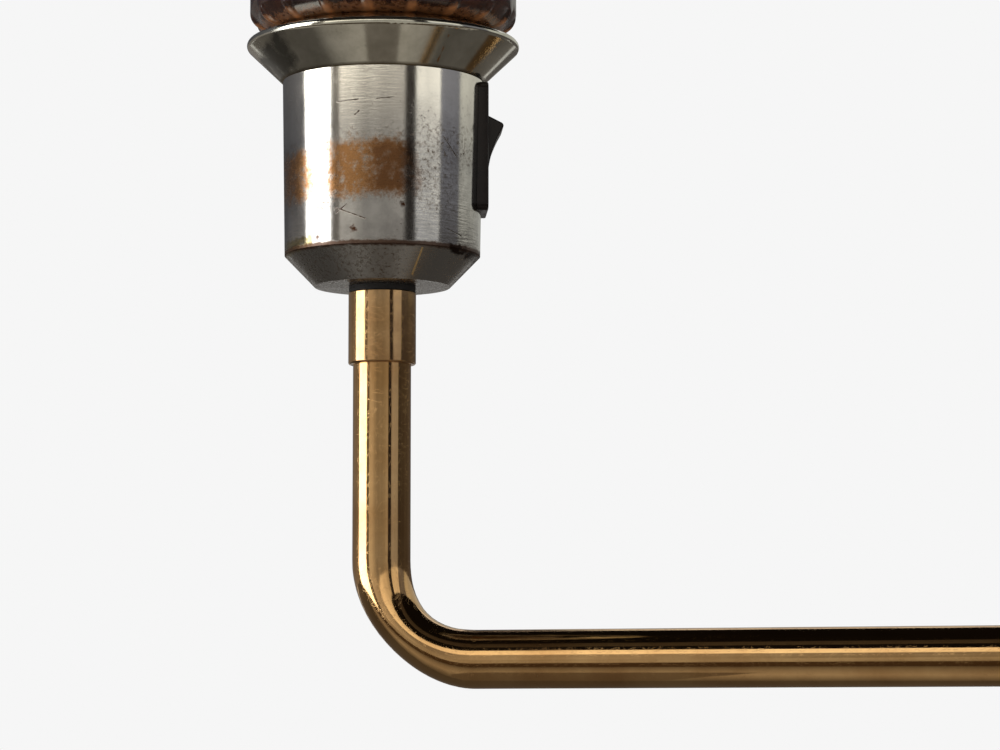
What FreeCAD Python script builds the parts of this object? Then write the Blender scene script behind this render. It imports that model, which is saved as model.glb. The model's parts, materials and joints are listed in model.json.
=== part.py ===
import FreeCAD, Part
import math
import os
from FreeCAD import Vector

# A wall lamp on two swinging arms: a round wall canopy, a swivel, a straight inner arm,
# a second swivel, an outer arm that bends up, and a lampholder with a rocker switch.
# Sizes are in millimetres. X runs to the right, Y into the wall and Z up. The wall is
# the plane Y = 0, and the origin is midway between the two wall screws.

# Arms
TUBE_D = 12.0
TUBE_WALL = 1.5
INNER_REACH = 200.0
OUTER_REACH = 200.0
BEND_R = 20.5
BEND_FLATTENING = 0.9
BEND_SECTIONS = 7
THREAD_D = 10.0
TAPPED_DEPTH = 10.0
ARM_END_GAP = 0.2
SOLDER_GAP = 0.05
SADDLE_GAP = 0.02
OVERCUT = 1.0

# Swivels
BARREL_D = 22.0
BARREL_WALL = 2.5
BARREL_FLOOR = 4.0
BARREL_ABOVE_TUBE = 14.0
BARREL_BELOW_TUBE = 12.0
EDGE_BREAK = 0.5
CAP_RIM = 1.2
CAP_DOME = 2.8
CAP_SPIGOT = 3.0
AXLE_BORE = 7.0
AXLE_HEAD_GAP = 1.0
AXLE_HEAD_T = 2.5
AXLE_TAIL = 1.5
RUNNING_GAP = 0.06
FACE_GAP = 0.05
FRICTION_WASHER_T = 1.0
SPRING_WASHER_GAP = 0.7
SPRING_WASHER_T = 0.8
NUT_GAP = 1.5
NUT_T = 3.5
STOP_PIN_D = 2.0
STOP_PIN_IN = 2.5
STOP_PIN_OUT = 2.0
STOP_GAP = 0.3
STOP_PIN_AT = 90.0
WALL_SWING = 90.0
ELBOW_FOLD = 75.0
ELBOW_OPEN = 255.0
FERRULE_WALL = 1.0
FERRULE_L = 10.0

# Wall side
CANOPY_D = 100.0
CANOPY_SHEET = 1.2
CANOPY_SHOULDER = 8.0
CANOPY_LIP = 1.0
CANOPY_HOLE_GAP = 0.2
CANOPY_ROOM = 2.8
POST_FLANGE_D = 24.0
POST_FLANGE_T = 3.0
POST_SHAFT_D = 14.0
POST_SHAFT_L = 15.0
POST_EDGE = 1.0
NIPPLE_IN_POST = 11.0
NIPPLE_TAIL = 2.5
STRAP_END_GAP = 6.0
STRAP_W = 20.0
STRAP_T = 2.0
STRAP_RISE = 8.0
STRAP_RAISED_HALF = 19.0
SLOT_SPACING = 60.0
SLOT_W = 4.5
SLOT_L = 12.0
EAR_W = 22.0
EAR_L = 26.0
LOCKNUT_T = 2.8
LOCK_WASHER_T = 0.7
LOCK_WASHER_W = 3.5
LOCK_TEETH = 12
LOCK_NOTCH_R = 0.6
EARTH_AT = 12.5
EARTH_SCREW_D = 4.0
EARTH_SCREW_L = 5.0
EARTH_HEAD_D = 7.0
EARTH_HEAD_T = 2.4
EARTH_WASHER_D = 7.6
EARTH_WASHER_T = 1.0
BUSH_AT = -13.2
BUSH_HOLE_D = 7.0
BUSH_BORE_D = 4.6
BUSH_LIP = 1.0

# Terminal block
BLOCK_W = 20.0
BLOCK_H = 17.0
BLOCK_T = 12.0
BLOCK_GAP = 2.0
POLE_SPACING = 11.0
POLE_TUBE_D = 5.8
POLE_BORE_D = 3.2
POLE_TUBE_INSET = 0.5
POLE_SCREW_D = 2.6
POLE_SCREW_SPACING = 9.0
POLE_SCREW_START = 0.6
POLE_SLOT_W = 0.6
POLE_SLOT_DEPTH = 1.0
POLE_WELL_GAP = 0.6
BLOCK_WAIST_W = 2.8
BLOCK_SCREW_D = 3.0
BLOCK_SCREW_HEAD_D = 5.4
BLOCK_SCREW_HEAD_T = 1.8
BLOCK_HEAD_GAP = 0.2

# Lampholder, counted up from the outer arm's centre line and turned round on its nipple
HOLDER_TURN = 18.0
LEG_H = 60.9
LEG_SETBACK = 0.5
SLEEVE_WALL = 1.0
SLEEVE_L = 15.0
SLEEVE_EDGE = 0.4
SLEEVE_BREAK = 0.2
INSULATOR_D = 13.8
INSULATOR_T = 1.2
NIPPLE_ABOVE_NUT = 1.5
NIPPLE_END_GAP = 1.0
MANTLE_D = 39.2
MANTLE_WALL = 2.8
MANTLE_H = 29.2
MANTLE_EDGE = 0.8
MANTLE_LIP_T = 2.4
MANTLE_LIP_GAP = 0.15
MANTLE_LIP_EDGE = 0.4
MANTLE_LEAD = 5.8
MANTLE_PITCH = 3.0
MANTLE_GROOVE = 0.7
MANTLE_GROOVE_FLAT = 0.6
MANTLE_GROOVE_MOUTH = 1.5
CUP_SHEET = 0.8
CUP_H = 42.8
CUP_TAPER = 1.2
CUP_CHAMFER_W = 6.2
CUP_CHAMFER_H = 6.4
CUP_WINDOW_GAP = 0.15
COLLAR_ROOT_WALL = 1.3
COLLAR_FLARE_W = 7.5
COLLAR_FLARE_H = 7.6
COLLAR_EDGE_R = 1.1
COLLAR_EDGE_FROM = -42.0
COLLAR_EDGE_TO = 68.0
COLLAR_SEAT_W = 3.6
COLLAR_H = 10.4
COLLAR_SPIGOT = 2.9
COLLAR_LEDGE_W = 2.0
COLLAR_LEDGE_RISE = 0.8
INSERT_GAP = 0.3
INSERT_TAIL_GAP = 0.2
INSERT_FLANGE_T = 1.4
INSERT_BODY_H = 1.8
INSERT_SCREW_D = 2.5
INSERT_SCREW_L = 5.0
INSERT_SCREW_HEAD_D = 4.0
INSERT_SCREW_HEAD_T = 1.1
INSERT_SCREW_AT = 10.4
WIRE_HOLE_D = 3.2
SHELL_SHEET = 0.4
SHELL_MINOR_D = 24.4
SHELL_WAVE = 1.15
SHELL_PITCH = 3.62
SHELL_TURNS = 6
SHELL_LAND = 0.9
SHELL_SKIRT = 2.4
SHELL_MOUTH_H = 0.8
SHELL_BASE_BORE = 15.0
TONGUE_W = 5.0
TONGUE_T = 0.4
TONGUE_RISE = 2.7
TONGUE_GAP = 0.3
TONGUE_FOOT_L = 4.2
TONGUE_SLOPE_L = 3.2
TONGUE_PAD_L = 2.6
TONGUE_TIP = 0.8

# Shade ring
RING_SEAT_GAP = 0.1
RING_W = 8.2
RING_BEVEL_H = 4.0
RING_BULGE_W = 0.62
RING_BULGE_H = 0.3
RING_H = 12.0
RING_THREAD_GAP = 0.3
RING_BREAK = 0.5
RING_RIBS = 18
RING_GROOVE_R = 9.0
RING_GROOVE_DEPTH = 0.9
RING_GROOVE_STOP = 0.6
RING_EDGE = 1.2

# Rocker switch, on the side of the cup, drawn with its face along X
FRAME_BELOW_COLLAR = 0.4
FRAME_TOP_MARGIN = 3.9
FRAME_MARGIN = 0.8
FRAME_PROUD = 1.1
FRAME_T = 2.4
FRAME_BED = 4.0
FRAME_CORNER_R = 1.6
SLEEVE_BEHIND_FACE = 0.3
ROCKER_W = 10.0
ROCKER_SIDE_GAP = 0.3
ROCKER_END_GAP = 0.3
ROCKER_DEPTH = 5.7
ROCKER_TILT = 12.0
ROCKER_TIP_X = 7.45
ROCKER_TIP_Z = 8.15
ROCKER_TIP_R = 0.9
ROCKER_WAIST_X = 6.2
ROCKER_SHOULDER_X = 4.05
ROCKER_SHOULDER_Z = 9.05
ROCKER_BACK_X = 1.6
ROCKER_BACK_STEP = 0.5
ROCKER_HUB_WALL = 1.6
ROCKER_NOSE = 4.6
ROCKER_NOSE_W = 2.4
ROCKER_NOSE_R = 0.8
ROCKER_PIN_D = 2.0
PIN_GAP = 0.01
HOUSING_WALL = 0.9
HOUSING_FLOOR = 1.5
HOUSING_BEHIND_BLADE = 4.8
BLADE_HUB_R = 0.7
BLADE_TILT = 8.0
BLADE_W = 5.0
BLADE_T = 0.5
BLADE_TALL = 11.0
NOSE_GAP = 0.34
COMMON_T = 1.0
CONTACT_D = 2.4
CONTACT_GAP = 0.1
CONTACT_TAIL_L = 1.0

# What follows from the sizes above
TUBE_R = TUBE_D / 2
THREAD_R = THREAD_D / 2
BARREL_R = BARREL_D / 2
CAVITY_R = BARREL_R - BARREL_WALL
NUT_FLATS = 2 * (CAVITY_R - NUT_GAP)
SWIVEL_STEP = 2 * BARREL_ABOVE_TUBE + FRICTION_WASHER_T + FACE_GAP
INNER_Z = SWIVEL_STEP
OUTER_Z = 2 * SWIVEL_STEP
CANOPY_DEPTH = STRAP_RISE + STRAP_T + BLOCK_T + CANOPY_ROOM + CANOPY_SHEET
WALL_TO_PIVOT = CANOPY_DEPTH + POST_FLANGE_T + POST_SHAFT_L + BARREL_R
ELBOW_Y = -(WALL_TO_PIVOT + INNER_REACH)
STOP_PIN_R = (THREAD_R + BARREL_R) / 2
TUBE_START = CAVITY_R + ARM_END_GAP
LEG_TOP = LEG_H + SLEEVE_L - LEG_SETBACK
CUP_Z = LEG_H + SLEEVE_L + INSULATOR_T
COLLAR_Z = CUP_Z + CUP_H
SEAT_Z = COLLAR_Z + COLLAR_H
LEDGE_Z = COLLAR_Z - COLLAR_SPIGOT
FLANGE_Z = COLLAR_Z + COLLAR_LEDGE_RISE
MANTLE_Z = FLANGE_Z + INSERT_FLANGE_T + SOLDER_GAP
MANTLE_TOP = MANTLE_Z + MANTLE_H
MANTLE_R = MANTLE_D / 2
INSERT_TOP = FLANGE_Z + INSERT_FLANGE_T + INSERT_BODY_H
LEDGE_BORE_R = MANTLE_R - COLLAR_LEDGE_W
CUP_TOP_R = MANTLE_R + COLLAR_ROOT_WALL
CUP_LOW_R = CUP_TOP_R - CUP_TAPER / 2
CUP_BASE_R = CUP_LOW_R - CUP_CHAMFER_W
COLLAR_FLARE_R = CUP_TOP_R + COLLAR_FLARE_W
COLLAR_SEAT_R = MANTLE_R + COLLAR_SEAT_W
RING_R = MANTLE_R + RING_W
SHELL_MAJOR_D = SHELL_MINOR_D + 2 * SHELL_WAVE
HOUSING_HALF_W = ROCKER_W / 2 + ROCKER_SIDE_GAP + HOUSING_WALL
CAVITY_HALF_H = math.hypot(ROCKER_SHOULDER_X, ROCKER_SHOULDER_Z) + ROCKER_END_GAP
HOUSING_HALF_H = CAVITY_HALF_H + HOUSING_WALL
FRAME_HALF_W = HOUSING_HALF_W + FRAME_MARGIN
FRAME_TOP_Z = COLLAR_Z - FRAME_BELOW_COLLAR
SWITCH_Z = FRAME_TOP_Z - FRAME_TOP_MARGIN - HOUSING_HALF_H
FRAME_FOOT_Z = SWITCH_Z - HOUSING_HALF_H - FRAME_MARGIN


# Helpers

def disc(radius, low, high):
    """A solid cylinder about Z between two heights."""
    return Part.makeCylinder(radius, high - low, Vector(0, 0, low))


def ring(outer, inner, low, high):
    """A plain ring about Z between two heights."""
    return disc(outer, low, high).cut(disc(inner, low - OVERCUT, high + OVERCUT))


def block(x, y, z):
    """A box from three (low, high) pairs."""
    return Part.makeBox(x[1] - x[0], y[1] - y[0], z[1] - z[0], Vector(x[0], y[0], z[0]))


def place(shape, at, toward=(0, 0, 1)):
    """The shape with its own Z turned to a direction and its own origin moved to a point."""
    spin = FreeCAD.Rotation(Vector(0, 0, 1), Vector(*toward))
    put = shape.copy()
    put.Placement = FreeCAD.Placement(Vector(*at), spin).multiply(put.Placement)
    return put


def swung(shape, degrees, about, axis=(0, 1, 0)):
    """The shape turned by an angle about a line through a point."""
    put = shape.copy()
    put.rotate(Vector(*about), Vector(*axis), degrees)
    return put


def face_of(points, normal_is_y=False):
    """A flat face from (across, up) points. A pair of points is an arc through the first to the second."""
    def spot(p):
        return Vector(p[0], 0, p[1]) if normal_is_y else Vector(p[0], p[1], 0)
    edges = []
    here = points[0]
    for step in list(points[1:]) + [points[0]]:
        if isinstance(step[0], tuple):
            through, there = step
            edges.append(Part.Arc(spot(here), spot(through), spot(there)).toShape())
        else:
            there = step
            edges.append(Part.makeLine(spot(here), spot(there)))
        here = there
    return Part.Face(Part.Wire(edges))


def turned(*outline):
    """A turned solid about Z from (radius, height) points and arcs."""
    return face_of(outline, normal_is_y=True).revolve(Vector(0, 0, 0), Vector(0, 0, 1), 360)


def on_circle(centre, radius, degrees):
    """The point of a circle at an angle, for the middle of an arc."""
    turn = math.radians(degrees)
    return (centre[0] + radius * math.cos(turn), centre[1] + radius * math.sin(turn))


NUT_CORNER_TURNED = 1.08


def hexagon(flats, bore, low, high):
    """A hexagon nut about Z, its corners turned down a little."""
    corner = flats / math.sqrt(3)
    points = [on_circle((0, 0), corner, 60 * k) for k in range(6)]
    body = face_of(points).extrude(Vector(0, 0, high - low))
    body.translate(Vector(0, 0, low))
    body = body.common(disc(flats / 2 * NUT_CORNER_TURNED, low, high))
    return body.cut(disc(bore, low - OVERCUT, high + OVERCUT))


def slotted_screw(shank_d, shank_l, head_d, head_t):
    """A cheese-head screw about Z: head up, its underside at height 0."""
    head = disc(head_d / 2, 0, head_t)
    slot_half = head_d / 12
    slot_floor = head_t * 0.55
    slot = block((-head_d, head_d), (-slot_half, slot_half), (slot_floor, head_t + OVERCUT))
    return head.cut(slot).fuse(disc(shank_d / 2, -shank_l, 0)).removeSplitter()


# Wall side

RAISED_BACK = -STRAP_RISE
RAISED_FRONT = RAISED_BACK - STRAP_T


def make_wall_strap():
    """The bent steel strap that is screwed to the wall, with its ear for the terminal block."""
    half = CANOPY_D / 2 - STRAP_END_GAP
    edge = STRAP_RAISED_HALF
    side = [(half, 0), (half, -STRAP_T), (edge + STRAP_T, -STRAP_T), (edge + STRAP_T, RAISED_FRONT)]
    points = side + [(-x, y) for x, y in reversed(side)]
    points += [(-edge, 0), (-edge, RAISED_BACK), (edge, RAISED_BACK), (edge, 0)]
    strap = face_of(points).extrude(Vector(0, 0, STRAP_W))
    strap.translate(Vector(0, 0, -STRAP_W / 2))
    ear_low = -STRAP_W / 2 - EAR_L
    ear = block((-EAR_W / 2, EAR_W / 2), (RAISED_FRONT, RAISED_BACK), (ear_low, 0))
    strap = strap.fuse(ear).removeSplitter()
    for side_sign in (-1, 1):
        strap = strap.cut(wall_slot(side_sign * SLOT_SPACING / 2))
    holes = (
        (0, 0, THREAD_R),
        (EARTH_AT, 0, EARTH_SCREW_D / 2),
        (BUSH_AT, 0, BUSH_HOLE_D / 2),
        (0, BLOCK_MIDDLE, BLOCK_SCREW_D / 2),
    )
    for at_x, at_z, radius in holes:
        hole = disc(radius, STRAP_RISE - OVERCUT, STRAP_RISE + STRAP_T + OVERCUT)
        strap = strap.cut(place(hole, (at_x, 0, at_z), (0, -1, 0)))
    return strap


def wall_slot(middle):
    """The cutter of one wall screw's slot, which runs along X."""
    radius = SLOT_W / 2
    run = SLOT_L / 2 - radius
    cutter = block((-run, run), (-STRAP_T - OVERCUT, OVERCUT), (-radius, radius))
    for end in (-run, run):
        round_end = disc(radius, -OVERCUT, STRAP_T + OVERCUT)
        cutter = cutter.fuse(place(round_end, (end, 0, 0), (0, -1, 0)))
    cutter = cutter.removeSplitter()
    cutter.translate(Vector(middle, 0, 0))
    return cutter


def make_cable_bush():
    """The bush that lines the strap's hole for the supply wires."""
    outer = BUSH_HOLE_D / 2 - SOLDER_GAP
    lip = outer + BUSH_LIP
    low = STRAP_RISE - BUSH_LIP
    high = STRAP_RISE + STRAP_T + BUSH_LIP
    bush = disc(outer, STRAP_RISE, STRAP_RISE + STRAP_T)
    bush = bush.fuse(disc(lip, low, STRAP_RISE)).fuse(disc(lip, STRAP_RISE + STRAP_T, high))
    bush = bush.removeSplitter().cut(disc(BUSH_BORE_D / 2, low - OVERCUT, high + OVERCUT))
    return place(bush, (BUSH_AT, 0, 0), (0, -1, 0))


BLOCK_TOP = -STRAP_W / 2 - BLOCK_GAP
BLOCK_MIDDLE = BLOCK_TOP - BLOCK_H / 2
POLE_SHARE = 0.45
POLE_Y = RAISED_FRONT - BLOCK_T * POLE_SHARE
BLOCK_SINK = BLOCK_T * 0.7


def make_terminal_block():
    """The two-pole terminal block on the strap's ear."""
    half = BLOCK_W / 2
    front = RAISED_FRONT - BLOCK_T
    low = BLOCK_TOP - BLOCK_H
    body = block((-half, half), (front, RAISED_FRONT), (low, BLOCK_TOP))
    waist = block((-BLOCK_WAIST_W / 2, BLOCK_WAIST_W / 2),
                  (front - OVERCUT, RAISED_FRONT - BLOCK_SINK),
                  (low - OVERCUT, BLOCK_TOP + OVERCUT))
    body = body.cut(waist)
    for pole in (-1, 1):
        across = pole * POLE_SPACING / 2
        run = disc(POLE_TUBE_D / 2 + SOLDER_GAP, low - OVERCUT, BLOCK_TOP + OVERCUT)
        body = body.cut(place(run, (across, POLE_Y, 0)))
        for height in pole_screw_heights():
            well = disc(POLE_SCREW_D / 2 + POLE_WELL_GAP, 0, BLOCK_T)
            body = body.cut(place(well, (across, POLE_Y, height), (0, -1, 0)))
    hole = disc(BLOCK_SCREW_D / 2 + SOLDER_GAP, -OVERCUT, BLOCK_T + OVERCUT)
    hole = hole.fuse(disc(BLOCK_SCREW_HEAD_D / 2 + BLOCK_HEAD_GAP, BLOCK_SINK, BLOCK_T + OVERCUT))
    return body.cut(place(hole, (0, RAISED_FRONT, BLOCK_MIDDLE), (0, -1, 0)))


def pole_screw_heights():
    """The heights of a pole's two clamping screws."""
    return (BLOCK_MIDDLE + POLE_SCREW_SPACING / 2, BLOCK_MIDDLE - POLE_SCREW_SPACING / 2)


def make_terminal_tube(pole):
    """The brass tube of one pole, with the two tapped holes in its front."""
    low = BLOCK_TOP - BLOCK_H + POLE_TUBE_INSET
    tube = ring(POLE_TUBE_D / 2, POLE_BORE_D / 2, low, BLOCK_TOP - POLE_TUBE_INSET)
    tube = place(tube, (pole * POLE_SPACING / 2, POLE_Y, 0))
    for height in pole_screw_heights():
        tapped = disc(POLE_SCREW_D / 2 + SOLDER_GAP, 0, POLE_TUBE_D)
        tube = tube.cut(place(tapped, (pole * POLE_SPACING / 2, POLE_Y, height), (0, -1, 0)))
    return tube


def make_terminal_screw(pole, height):
    """A slotted grub screw that clamps a wire in its pole."""
    length = BLOCK_T * POLE_SHARE
    screw = disc(POLE_SCREW_D / 2, POLE_SCREW_START, length)
    slot = block((-POLE_SCREW_D, POLE_SCREW_D), (-POLE_SLOT_W / 2, POLE_SLOT_W / 2),
                 (length - POLE_SLOT_DEPTH, length + OVERCUT))
    return place(screw.cut(slot), (pole * POLE_SPACING / 2, POLE_Y, height), (0, -1, 0))


def make_block_screw():
    """The screw that holds the terminal block to the ear."""
    screw = slotted_screw(BLOCK_SCREW_D, BLOCK_SINK + STRAP_T, BLOCK_SCREW_HEAD_D, BLOCK_SCREW_HEAD_T)
    return place(screw, (0, RAISED_FRONT - BLOCK_SINK, BLOCK_MIDDLE), (0, -1, 0))


def make_earth_screw():
    """The earth screw in the strap."""
    screw = slotted_screw(EARTH_SCREW_D, EARTH_SCREW_L, EARTH_HEAD_D, EARTH_HEAD_T)
    return place(screw, (EARTH_AT, RAISED_FRONT - EARTH_WASHER_T, 0), (0, -1, 0))


def make_earth_washer():
    """The saddle washer under the earth screw's head, which grips the wire."""
    washer = ring(EARTH_WASHER_D / 2, EARTH_SCREW_D / 2 + SOLDER_GAP, 0, EARTH_WASHER_T)
    return place(washer, (EARTH_AT, RAISED_FRONT, 0), (0, -1, 0))


def make_canopy_nipple():
    """The hollow threaded nipple that ties strap, canopy and post together."""
    tail = STRAP_RISE - LOCK_WASHER_T - LOCKNUT_T - NIPPLE_TAIL
    nipple = ring(THREAD_R - SOLDER_GAP, AXLE_BORE / 2, tail, CANOPY_DEPTH + NIPPLE_IN_POST)
    return place(nipple, (0, 0, 0), (0, -1, 0))


def make_lock_washer():
    """The toothed washer behind the strap."""
    outer = THREAD_R + LOCK_WASHER_W
    washer = ring(outer, THREAD_R + SOLDER_GAP, STRAP_RISE - LOCK_WASHER_T, STRAP_RISE)
    for k in range(LOCK_TEETH):
        notch = disc(LOCK_NOTCH_R, 0, STRAP_RISE + OVERCUT)
        spot = on_circle((0, 0), outer, 360 / LOCK_TEETH * k)
        washer = washer.cut(place(notch, (spot[0], spot[1], 0)))
    return place(washer, (0, 0, 0), (0, -1, 0))


def make_nipple_locknut():
    """The locknut behind the strap."""
    high = STRAP_RISE - LOCK_WASHER_T
    nut = hexagon(NUT_FLATS, THREAD_R, high - LOCKNUT_T, high)
    return place(nut, (0, 0, 0), (0, -1, 0))


def make_canopy():
    """The round canopy that covers the strap: a drum with a rounded shoulder and a turned-out lip."""
    outer = CANOPY_D / 2
    shoulder = CANOPY_DEPTH - CANOPY_SHOULDER
    centre = (outer - CANOPY_SHOULDER, shoulder)
    inner_r = CANOPY_SHOULDER - CANOPY_SHEET
    hole = THREAD_R + CANOPY_HOLE_GAP
    dish = turned(
        (outer + CANOPY_LIP, 0),
        (outer + CANOPY_LIP, CANOPY_SHEET),
        (outer, CANOPY_SHEET + CANOPY_LIP),
        (outer, shoulder),
        (on_circle(centre, CANOPY_SHOULDER, 45), (centre[0], CANOPY_DEPTH)),
        (hole, CANOPY_DEPTH),
        (hole, CANOPY_DEPTH - CANOPY_SHEET),
        (centre[0], CANOPY_DEPTH - CANOPY_SHEET),
        (on_circle(centre, inner_r, 45), (outer - CANOPY_SHEET, shoulder)),
        (outer - CANOPY_SHEET, 0),
    )
    return place(dish, (0, 0, 0), (0, -1, 0))


SPIGOT_ROOT = 2.0


def make_wall_post():
    """The turned post from the canopy to the first swivel, with its flange against the canopy."""
    flange_r = POST_FLANGE_D / 2
    shaft_r = POST_SHAFT_D / 2
    face = CANOPY_DEPTH + POST_FLANGE_T
    hollow = (shaft_r + POST_EDGE, face + POST_EDGE)
    post = turned(
        (AXLE_BORE / 2, CANOPY_DEPTH),
        (flange_r - EDGE_BREAK, CANOPY_DEPTH),
        (flange_r, CANOPY_DEPTH + EDGE_BREAK),
        (flange_r, face - POST_EDGE),
        (flange_r - POST_EDGE, face),
        (shaft_r + POST_EDGE, face),
        (on_circle(hollow, POST_EDGE, 225), (shaft_r, face + POST_EDGE)),
        (shaft_r, WALL_TO_PIVOT),
        (AXLE_BORE / 2, WALL_TO_PIVOT),
    )
    tapped = disc(THREAD_R, CANOPY_DEPTH - OVERCUT, CANOPY_DEPTH + NIPPLE_IN_POST + NIPPLE_END_GAP)
    post = post.cut(tapped)
    spigot_low = WALL_TO_PIVOT - BARREL_R - SPIGOT_ROOT
    spigot = ring(TUBE_R, AXLE_BORE / 2, spigot_low, WALL_TO_PIVOT - TUBE_START)
    post = place(post, (0, 0, 0), (0, -1, 0))
    saddle = disc(BARREL_R + SADDLE_GAP, -BARREL_D, BARREL_D)
    post = post.cut(place(saddle, (0, -WALL_TO_PIVOT, 0)))
    return post.fuse(place(spigot, (0, 0, 0), (0, -1, 0))).removeSplitter()


# Swivels, each made about its own vertical axis with height 0 at its friction washer's foot

SPRING_Z = FRICTION_WASHER_T + 2 * FACE_GAP + BARREL_FLOOR


def lower_barrel(toward):
    """The barrel below a swivel's joint face, closed at the top and bored for its arm's end."""
    low = -BARREL_ABOVE_TUBE - BARREL_BELOW_TUBE
    b = EDGE_BREAK
    body = turned((0, low), (BARREL_R - b, low), (BARREL_R, low + b),
                  (BARREL_R, -b), (BARREL_R - b, 0), (0, 0))
    body = body.cut(disc(CAVITY_R, low - OVERCUT, -BARREL_FLOOR))
    body = body.cut(disc(THREAD_R + SOLDER_GAP, low, OVERCUT))
    pin_hole = disc(STOP_PIN_D / 2, -STOP_PIN_IN, OVERCUT)
    body = body.cut(place(pin_hole, on_circle((0, 0), STOP_PIN_R, STOP_PIN_AT) + (0,)))
    return body.cut(arm_hole(-BARREL_ABOVE_TUBE, toward))


def upper_barrel(toward, stop_from, stop_to):
    """The barrel above the joint face, which runs on the axle, with the stop pin's groove in its foot."""
    foot = FRICTION_WASHER_T + FACE_GAP
    top = foot + BARREL_ABOVE_TUBE + BARREL_BELOW_TUBE
    b = EDGE_BREAK
    body = turned((0, foot), (BARREL_R - b, foot), (BARREL_R, foot + b),
                  (BARREL_R, top - b), (BARREL_R - b, top), (0, top))
    body = body.cut(disc(CAVITY_R, foot + BARREL_FLOOR, top + OVERCUT))
    body = body.cut(disc(THREAD_R + RUNNING_GAP, 0, top))
    body = body.cut(stop_groove(foot, stop_from, stop_to))
    return body.cut(arm_hole(foot + BARREL_ABOVE_TUBE, toward))


def stop_groove(foot, stop_from, stop_to):
    """The groove that the stop pin runs in: a ring, less the land that the pin meets at both ends."""
    reach = STOP_PIN_D / 2 + STOP_GAP
    ends = math.degrees(math.asin((STOP_PIN_D / 2 + STOP_GAP / 3) / STOP_PIN_R))
    depth = STOP_PIN_OUT - FRICTION_WASHER_T + STOP_GAP
    groove = ring(STOP_PIN_R + reach, STOP_PIN_R - reach, foot - OVERCUT, foot + depth)
    land = 360 - (stop_to - stop_from) - 2 * ends
    if land <= 0:
        return groove
    down = Vector(0, 0, foot - 2 * OVERCUT)
    wedge = Part.makeCylinder(BARREL_R, depth + 3 * OVERCUT, down, Vector(0, 0, 1), land)
    return groove.cut(swung(wedge, stop_to + ends, (0, 0, 0), (0, 0, 1)))


def arm_hole(height, toward):
    """The cutter of the hole in a barrel's wall that takes an arm's end."""
    return place(disc(TUBE_R + SOLDER_GAP, 0, BARREL_D), (0, 0, height), toward)


def barrel_cap(up):
    """The domed cap that closes a barrel, its rim on the barrel's edge at height 0."""
    sphere = (BARREL_R ** 2 + CAP_DOME ** 2) / (2 * CAP_DOME)
    centre = (0, CAP_RIM + CAP_DOME - sphere)
    rim_angle = math.degrees(math.acos(BARREL_R / sphere))
    cap = turned(
        (0, -CAP_SPIGOT),
        (CAVITY_R - SOLDER_GAP, -CAP_SPIGOT),
        (CAVITY_R - SOLDER_GAP, 0),
        (BARREL_R - EDGE_BREAK, 0),
        (BARREL_R, EDGE_BREAK),
        (BARREL_R, CAP_RIM),
        (on_circle(centre, sphere, (rim_angle + 90) / 2), (0, CAP_RIM + CAP_DOME)),
    )
    return cap if up else swung(cap, 180, (0, 0, 0), (1, 0, 0))


def make_axle():
    """The hollow axle bolt, its head under the lower barrel's floor and its shank up through both."""
    head_top = -BARREL_FLOOR
    head_low = head_top - AXLE_HEAD_T
    top = SPRING_Z + SPRING_WASHER_T + NUT_T + AXLE_TAIL
    bolt = disc(CAVITY_R - AXLE_HEAD_GAP, head_low, head_top)
    bolt = bolt.fuse(disc(THREAD_R, head_top, top)).removeSplitter()
    return bolt.cut(disc(AXLE_BORE / 2, head_low - OVERCUT, top + OVERCUT))


def make_friction_washer():
    """The friction washer between the barrels, kept from turning by the stop pin."""
    washer = ring(BARREL_R - EDGE_BREAK, THREAD_R + SOLDER_GAP, 0, FRICTION_WASHER_T)
    hole = disc(STOP_PIN_D / 2 + SOLDER_GAP, -OVERCUT, FRICTION_WASHER_T + OVERCUT)
    return washer.cut(place(hole, on_circle((0, 0), STOP_PIN_R, STOP_PIN_AT) + (0,)))


def make_stop_pin():
    """The pin that limits the swing."""
    pin = disc(STOP_PIN_D / 2, -STOP_PIN_IN, STOP_PIN_OUT)
    return place(pin, on_circle((0, 0), STOP_PIN_R, STOP_PIN_AT) + (0,))


def make_spring_washer():
    """The spring washer that presses the upper barrel down, at its pressed height."""
    outer = CAVITY_R - SPRING_WASHER_GAP
    return ring(outer, THREAD_R + SOLDER_GAP, SPRING_Z, SPRING_Z + SPRING_WASHER_T)


def make_tension_nut():
    """The nut that sets the friction of a swivel."""
    low = SPRING_Z + SPRING_WASHER_T
    return hexagon(NUT_FLATS, THREAD_R + SOLDER_GAP, low, low + NUT_T)


def swivel_lower(prefix, toward, at):
    """The pieces of a swivel that stay with its lower barrel, by name."""
    bottom = -BARREL_ABOVE_TUBE - BARREL_BELOW_TUBE
    cap = place(barrel_cap(up=False), (0, 0, bottom))
    pieces = {
        prefix + "_barrel": lower_barrel(toward),
        prefix + "_bottom_cap": cap,
        prefix + "_axle": make_axle(),
        prefix + "_friction_washer": make_friction_washer(),
        prefix + "_stop_pin": make_stop_pin(),
        prefix + "_spring_washer": make_spring_washer(),
        prefix + "_tension_nut": make_tension_nut(),
    }
    return {name: place(shape, at) for name, shape in pieces.items()}


def swivel_upper(prefix, toward, stop_from, stop_to, at):
    """The pieces of a swivel that turn with its upper barrel, by name."""
    top = FRICTION_WASHER_T + FACE_GAP + BARREL_ABOVE_TUBE + BARREL_BELOW_TUBE
    pieces = {
        prefix + "_barrel": upper_barrel(toward, stop_from, stop_to),
        prefix + "_top_cap": place(barrel_cap(up=True), (0, 0, top)),
    }
    return {name: place(shape, at) for name, shape in pieces.items()}


# Arms

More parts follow.
